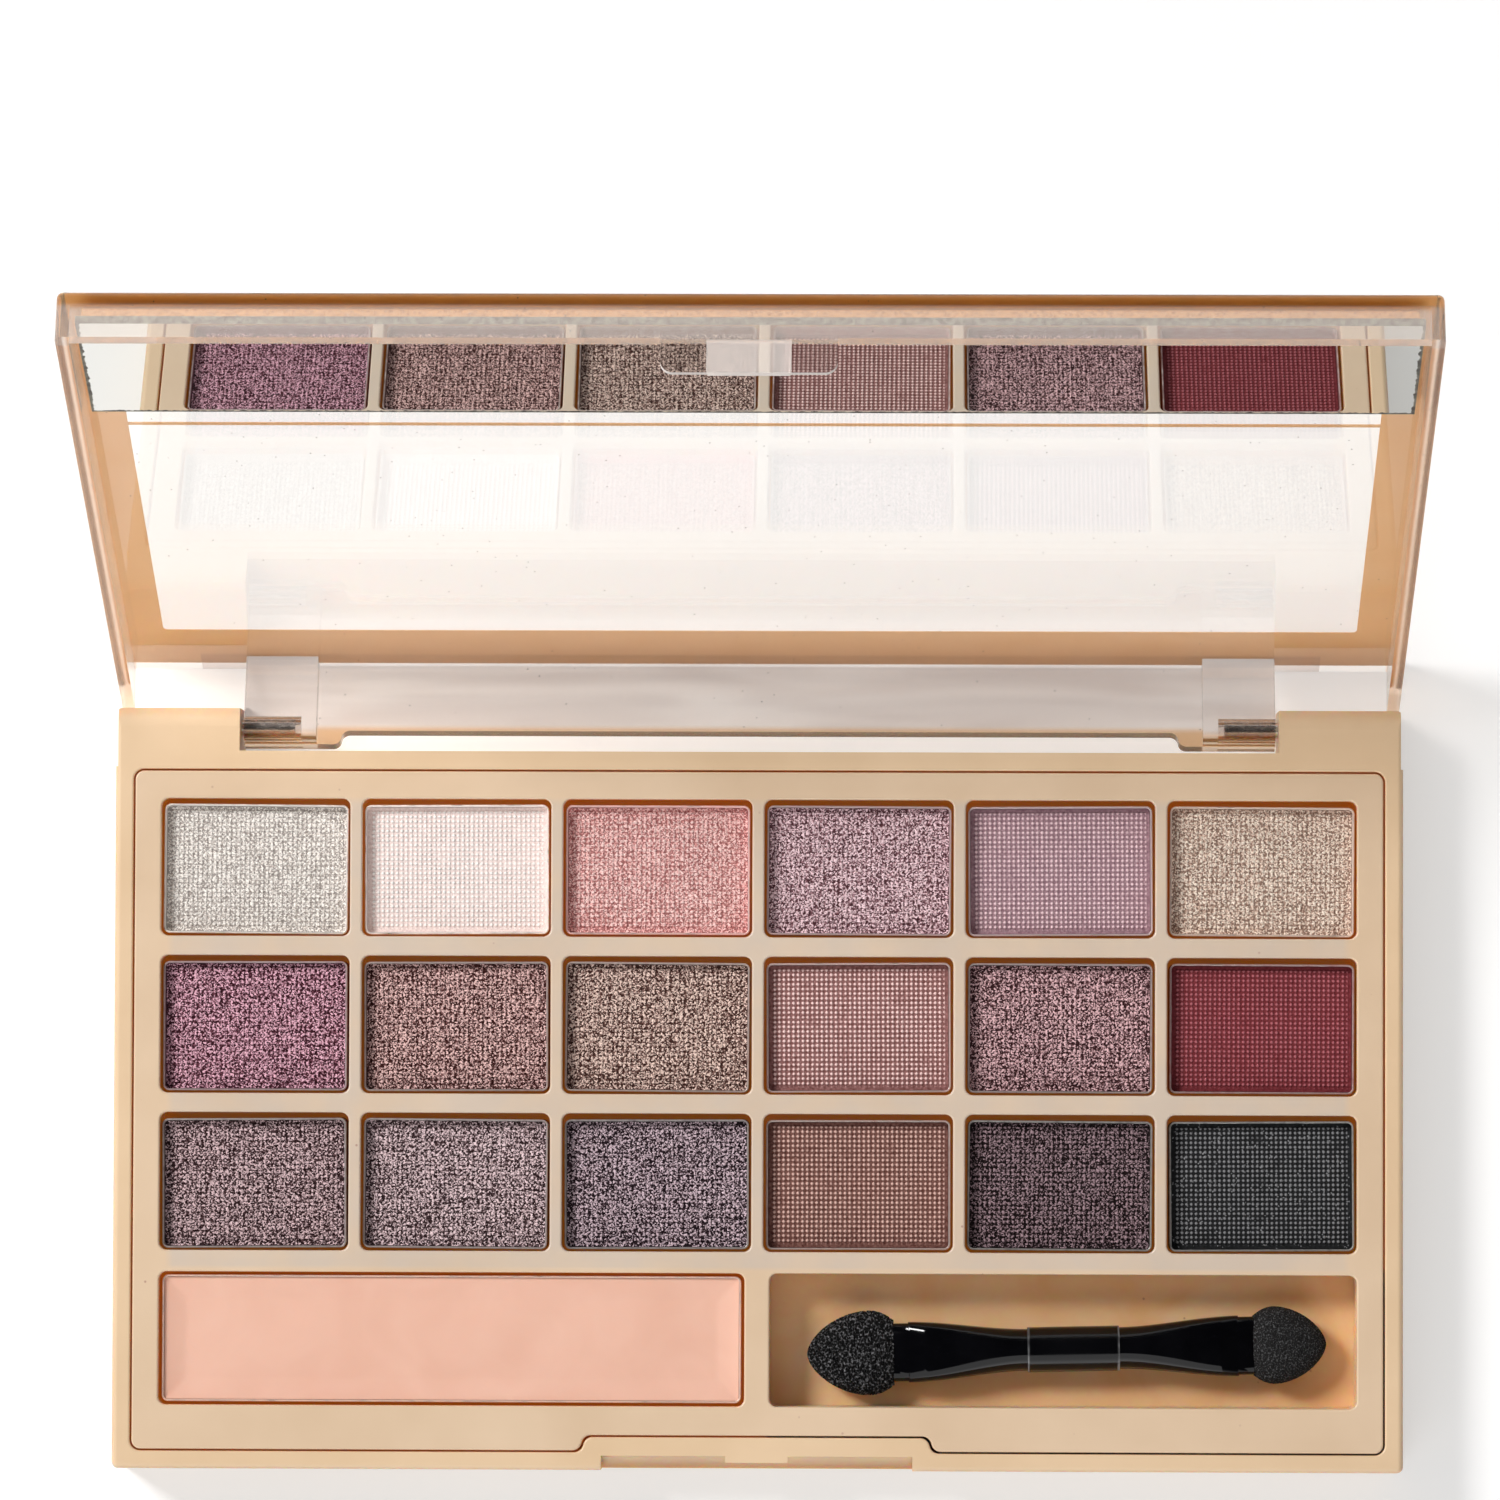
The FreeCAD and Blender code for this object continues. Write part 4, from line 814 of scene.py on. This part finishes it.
ink, tree, where = new_finish("tan_ink_on_film")
mottle = add(tree, "TexNoise", {"Vector": where, "Scale": 1000 / MOTTLE, "Detail": 4.0})
colour = add(tree, "ValToRGB", {0: mottle}, stops=((0.3, "#fbdfb4"), (0.7, "#ffe6c0")))
shader = add(tree, "BsdfPrincipled", {"Base Color": colour, "Roughness": 0.4})
through = add(tree, "BsdfTranslucent", {"Color": linear("#ffd08a")})
thin = add(tree, "MixShader", {0: 0.55, 1: shader, 2: through})
add(tree, "OutputMaterial", {"Surface": thin})

levels = (PLATE_FACE - SINK, PLATE_FACE + FILM_RISE)
border_points = band_points(loop(*BORDER, CORNER), loop(*WINDOW, CORNER), *levels)
border = build("lid_border_ink", border_points, "ring", "lid", ink)
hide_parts("lid_print")
line_x = np.linspace(-WINDOW[0], WINDOW[0], LINE_STEPS)
edges = [np.stack([line_x, np.full(LINE_STEPS, out)], axis=-1) for out in LINE]
build("lid_line_ink", band_points(*edges, *levels), "tube", "lid", ink)
print("border points:", border_points.shape[:2])

# %% [markdown]
# ## Mirror, tape and pins
#
# The mirror is silvered glass: nearly all light comes back from its face. Its cut edge is chipped, and the
# silver stops in a ragged line about 0.4 mm inside it, so dark glass shows there. The foam tape under it is
# acrylic, and its pores make it a mottled brown. The pins are drawn steel wire, bright, with fine scratches
# along their length.

# %% Mirror glass
MIRROR = (77.8, 68.42)          # mm: half length, and its near edge out from the hinge
CHIP = 0.7                      # mm, width of the chips along the edge

silver, tree, where = new_finish("silvered_glass")
face_normal = (0.0, -math.sin(OPEN), -math.cos(OPEN))
lean = add(tree, "VectorMath", {0: add(tree, "TexCoord").outputs["Normal"], 1: face_normal},
           operation="DOT_PRODUCT")
front = add(tree, "MapRange", {0: lean.outputs["Value"], 1: 0.8, 2: 0.9})
side, inward, _ = lid_places(tree, where)
side_gap = add(tree, "Math", {0: MIRROR[0] * MM, 1: side}, operation="SUBTRACT")
rear_gap = add(tree, "Math", {0: -MIRROR[1] * MM, 1: inward}, operation="SUBTRACT")
gap = add(tree, "Math", {0: side_gap, 1: rear_gap}, operation="MINIMUM")
chips = add(tree, "TexNoise", {"Vector": where, "Scale": 1000 / CHIP, "Detail": 4.0})
ragged = add(tree, "Math", {0: chips, 1: -0.8 * MM, 2: 0.78 * MM}, operation="MULTIPLY_ADD")
kept = add(tree, "Math", {0: gap, 1: ragged}, operation="GREATER_THAN")
front = add(tree, "Math", {0: front, 1: kept}, operation="MULTIPLY")
cut = add(tree, "ValToRGB", {0: chips}, stops=((0.35, "#34322f"), (0.65, "#7d8178")))
colour = add(tree, "Mix", {0: front, 6: cut, 7: linear("#dfe1df")}, data_type="RGBA")
gloss = add(tree, "MapRange", {0: front, "To Min": 0.35, "To Max": 0.01})
shader = add(tree, "BsdfPrincipled", {"Base Color": colour, "Metallic": front, "Roughness": gloss})
add(tree, "OutputMaterial", {"Surface": shader})
dress("lid_mirror", silver)
print("silvered glass on lid_mirror")

# %% Foam tape and steel pins
PORE = 0.5                      # mm, size of a pore
SCRATCH = (1.5, 0.3)            # mm, length and width of a scratch

tape, tree, where = new_finish("acrylic_foam_tape")
pores = add(tree, "TexVoronoi", {"Vector": where, "Scale": 1000 / PORE})
colour = add(tree, "ValToRGB", {0: pores.outputs["Distance"]}, stops=((0.1, "#9a6a34"), (0.6, "#b98a52")))
shader = add(tree, "BsdfPrincipled", {"Base Color": colour, "Roughness": 0.9})
add(tree, "OutputMaterial", {"Surface": shader})
dress("mirror_tape", tape)

steel, tree, where = new_finish("drawn_steel_wire")
lines = add(tree, "Mapping", {"Vector": where,
                              "Scale": (1000 / SCRATCH[0], 1000 / SCRATCH[1], 1000 / SCRATCH[1])})
scratch = add(tree, "TexNoise", {"Vector": lines, "Scale": 1.0, "Detail": 2.0})
gloss = add(tree, "MapRange", {0: scratch, "To Min": 0.12, "To Max": 0.4})
shader = add(tree, "BsdfPrincipled", {"Base Color": linear("#e6e5e3"), "Metallic": 1.0,
                                      "Roughness": gloss})
add(tree, "OutputMaterial", {"Surface": shader})
for side in ("left", "right"):
    dress("hinge_pin_" + side, steel)
print("lid dressed")

# %% [markdown]
# ## The applicator
#
# Two wands are plugged into a sleeve. Each is round at the sleeve and spreads to a flat fishtail, with a
# ramp down to a tab where a foam tip is glued on. A wand is a profile carried along a straight path: at
# each distance from the middle of the sleeve an oval with its own half width and half thickness.

# %% Shape of a wand
APPLICATOR, LEAN, sleeve_half = seat("applicator_sleeve")
PLUG = (2.3, 5.7)               # mm: radius of the plug, and where it ends
ROUND = 2.6                     # mm, radius of the handle at the sleeve
TAIL = (3.75, 2.25)             # mm: half width and half thickness of the fishtail
RAMP = 2.2                      # mm, length of the slope from the fishtail down to the tab
TAB = (3.6, 1.5, 2.0)           # mm: half width, half thickness and length of the tab in the foam


def oval_tube(distance, half_width, half_thick, square, around):
    """Rings of points along X: cosine and sine, each raised to a power that squares the oval a little."""
    turn = np.linspace(0, 2 * np.pi, around, endpoint=False)[None, :]
    round_y = np.sign(np.cos(turn)) * np.abs(np.cos(turn)) ** square[:, None]
    round_z = np.sign(np.sin(turn)) * np.abs(np.sin(turn)) ** square[:, None]
    x = np.broadcast_to(distance[:, None], (len(distance), around))
    return np.stack([x, half_width[:, None] * round_y, half_thick[:, None] * round_z], axis=-1)


def wand_points(way, reach_end):
    """Plug, handle, fishtail and tab.

    Half width and half thickness ease from the round handle to the fishtail by three squares minus two
    cubes of the way. At its end a straight ramp goes down to the tab, and the oval is squared more and more
    toward it.
    """
    tab_width, tab_thick, tab_length = TAB
    handle = np.linspace(PLUG[1], reach_end - tab_length, 80)
    share = (handle - handle[0]) / (handle[-1] - handle[0])
    ease = share ** 2 * (3 - 2 * share)
    ramp = np.clip((handle - handle[-1] + RAMP) / RAMP, 0, 1)
    wide = ROUND + (TAIL[0] - ROUND) * ease
    thick = ROUND + (TAIL[1] - ROUND) * ease + (tab_thick - TAIL[1]) * ramp
    tab = [reach_end - tab_length + 0.05, reach_end - 0.1, reach_end]
    distance = np.concatenate([[0.0, PLUG[1]], handle, tab])
    half_width = np.concatenate([[PLUG[0]] * 2, wide, [tab_width, tab_width, tab_width - 0.2]])
    half_thick = np.concatenate([[PLUG[0]] * 2, thick, [tab_thick, tab_thick, tab_thick - 0.1]])
    square = np.concatenate([[1.0, 1.0], 1.0 - 0.5 * ease, [0.5, 0.5, 0.5]])
    points = oval_tube(distance, half_width, half_thick, square, 96)
    return points if way > 0 else points[::-1] * (-1, 1, 1)


print("sleeve is", round(2 * sleeve_half[0], 2), "mm long")

# %% [markdown]
# ## Black plastic
#
# Wands and sleeve are moulded from black polystyrene. The wands are polished and show the lamps as thin
# lines and dim bands. The sleeve is satin, and a pale grey highlight is painted round its ends. One recipe
# gives both: a noise varies the gloss, and the painted grey highlight comes in near the ends of the sleeve.

# %% Black polystyrene
HAZE = 4.0                      # mm, width of the hazy patches


def black_plastic(name, tone, gloss_low, gloss_high, end_highlight):
    """Black polystyrene, hazy in patches; the last argument is the share of painted highlight grey at the
    ends of the sleeve.
    """
    finish, tree, where = new_finish(name)
    haze = add(tree, "TexNoise", {"Vector": where, "Scale": 1000 / HAZE, "Detail": 4.0})
    gloss = add(tree, "MapRange", {0: haze, 1: 0.3, 2: 0.7, 3: gloss_low, 4: gloss_high})
    colour = add(tree, "ValToRGB", {0: haze}, stops=((0.3, tone), (0.8, "#08080b")))
    along = add(tree, "Math", {0: add(tree, "SeparateXYZ", {0: where}).outputs["X"], 1: APPLICATOR[0] * MM},
                operation="SUBTRACT")
    apart = add(tree, "Math", {0: along}, operation="ABSOLUTE")
    # painted highlight: pale grey near the ends of the sleeve, where its edges catch the lamps
    ends = add(tree, "MapRange", {0: apart, 1: (sleeve_half[0] - 0.3) * MM,
                                  2: (sleeve_half[0] - 0.15) * MM, 3: 0.0, 4: end_highlight})
    patch = add(tree, "MapRange", {0: haze, 1: 0.35, 2: 0.6})
    painted_end_highlight = add(tree, "Math", {0: ends, 1: patch}, operation="MULTIPLY")
    colour = add(tree, "Mix", {0: painted_end_highlight, 6: colour, 7: linear("#9a9a9c")}, data_type="RGBA")
    shader = add(tree, "BsdfPrincipled", {"Base Color": colour, "Roughness": gloss, "IOR": 1.5,
                                          "Specular IOR Level": 0.35})
    add(tree, "OutputMaterial", {"Surface": shader})
    return finish


gloss_black = black_plastic("polished_black_polystyrene", "#020204", 0.04, 0.1, 0.0)
for side, way in (("left", -1), ("right", 1)):
    ends = np.array([corner.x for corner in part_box("wand_" + side)]) / MM
    points = settle(wand_points(way, np.abs(ends - APPLICATOR[0]).max()), APPLICATOR, LEAN)
    wand = build("wand_" + side + "_moulded", points, "tube", "applicator", gloss_black)
    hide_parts("wand_" + side)
dress("applicator_sleeve", black_plastic("satin_black_polystyrene", "#030305", 0.1, 0.2, 0.7))
print("applicator leans", round(math.degrees(LEAN), 2), "degrees")

# %% [markdown]
# ## The foam tips
#
# The tips are cut from black sponge: a coarse open foam on the left and a fine one on the right. In plan
# each is a drop, widest near the wand. It is a tube like the wand, with a drop-shaped half width, and then
# every point is pushed in or out by a smoothed random amount, because a cut through foam is never smooth.


# %% Foam tips
def drop_share(share, widest, neck, point, fullness):
    """Half width of a drop along its length, as a share of the widest.

    Up to the widest place it is the neck plus the rest times one minus the square of the way left. After
    that it is one minus a power of the way, raised to the fullness.
    """
    before = neck + (1 - neck) * (1 - (1 - np.clip(share / widest, 0, 1)) ** 2)
    after = (1 - np.clip((share - widest) / (1 - widest), 0, 1) ** point) ** fullness
    return np.where(share < widest, before, after)


def rough_field(rows, columns, smoothing, seed):
    """Random numbers averaged with their neighbours, several times over, so that lumps appear."""
    lumps = np.random.default_rng(seed).standard_normal((rows, columns))
    for _ in range(smoothing):
        lumps = (lumps + np.roll(lumps, 1, 0) + np.roll(lumps, -1, 0) + np.roll(lumps, 1, 1)
                 + np.roll(lumps, -1, 1)) / 5
    return lumps / lumps.std()


def sponge_points(way, start, length, half_width, half_thick, lump, smoothing, seed):
    """A drop-shaped tube whose points are pushed along their own rays by a random field."""
    rows, around = 170, 220
    share = np.linspace(0, 1, rows)
    wide = half_width * drop_share(share, widest=0.29, neck=0.76, point=1.8, fullness=0.62)
    thick = half_thick * drop_share(share, widest=0.35, neck=0.62, point=2.2, fullness=0.6)
    points = oval_tube(start + length * share, np.maximum(wide, 0.15), np.maximum(thick, 0.1),
                       np.full(rows, 0.85), around)
    push = lump * rough_field(rows, around, smoothing, seed)
    size = np.hypot(points[..., 1], points[..., 2])
    factor = 1 + np.clip(push, -2 * lump, 0.5 * lump) / np.maximum(size, 0.8) - 0.5 * lump / 3
    points[..., 1:] *= factor[..., None]
    return points if way > 0 else points[::-1] * (-1, 1, 1)


def cut_foam(name, deep, pale, cell):
    """Black sponge: painted shade in the pores and painted highlights on the cell walls between them, and
    no gloss at all.
    """
    finish, tree, where = new_finish(name)
    pores = add(tree, "TexVoronoi", {"Vector": where, "Scale": 1000 / cell})
    fleck = add(tree, "TexNoise", {"Vector": where, "Scale": 1000 / (0.7 * cell), "Detail": 2.0})
    mixed = add(tree, "Math", {0: pores.outputs["Distance"], 1: fleck}, operation="MULTIPLY")
    # painted shade in the pores and painted highlights on the cell walls between them
    colour = add(tree, "ValToRGB", {0: mixed}, stops=((0.26, deep), (0.52, pale)))
    bump = add(tree, "Bump", {"Strength": 0.9, "Distance": 0.25 * cell * MM, "Height": mixed})
    shader = add(tree, "BsdfPrincipled", {"Base Color": colour, "Roughness": 0.95,
                                          "Specular IOR Level": 0.2, "Normal": bump})
    add(tree, "OutputMaterial", {"Surface": shader})
    return finish


LEAN_ROOM = 0.12                # mm that the tip's box is wider than the tip, because it lies askew
# way, finish and slot, then mm of roughness, rounds of smoothing and seed
FOAMS = {
    "left": (-1, cut_foam("coarse_cut_sponge", "#080808", "#737274", 0.32), "sponge_coarse", 0.16, 2, 11),
    "right": (1, cut_foam("fine_cut_sponge", "#171616", "#565657", 0.2), "sponge_fine", 0.06, 1, 12),
}
for side, (way, finish, slot, lump, smoothing, seed) in FOAMS.items():
    low, high = (np.array(tuple(end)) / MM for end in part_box("sponge_" + side))
    near, far = sorted(abs(np.array([low[0], high[0]]) - APPLICATOR[0]))
    half_width = (high[1] - low[1]) / 2 - LEAN_ROOM
    points = sponge_points(way, near, far - near, half_width, (high[2] - low[2]) / 2, lump, smoothing, seed)
    points = settle(points, APPLICATOR, LEAN)
    tip = build("sponge_" + side + "_cut", points, "tube", "applicator", finish)
    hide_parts("sponge_" + side)
print("foam tips cut")

# %% [markdown]
# ## Measure
#
# The box round the dressed palette is printed. The dressed palette has to stay inside the box of
# its CAD model.

# %% Sizes and finish
low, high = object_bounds()
print("visual box in metres:", tuple(low), tuple(high))
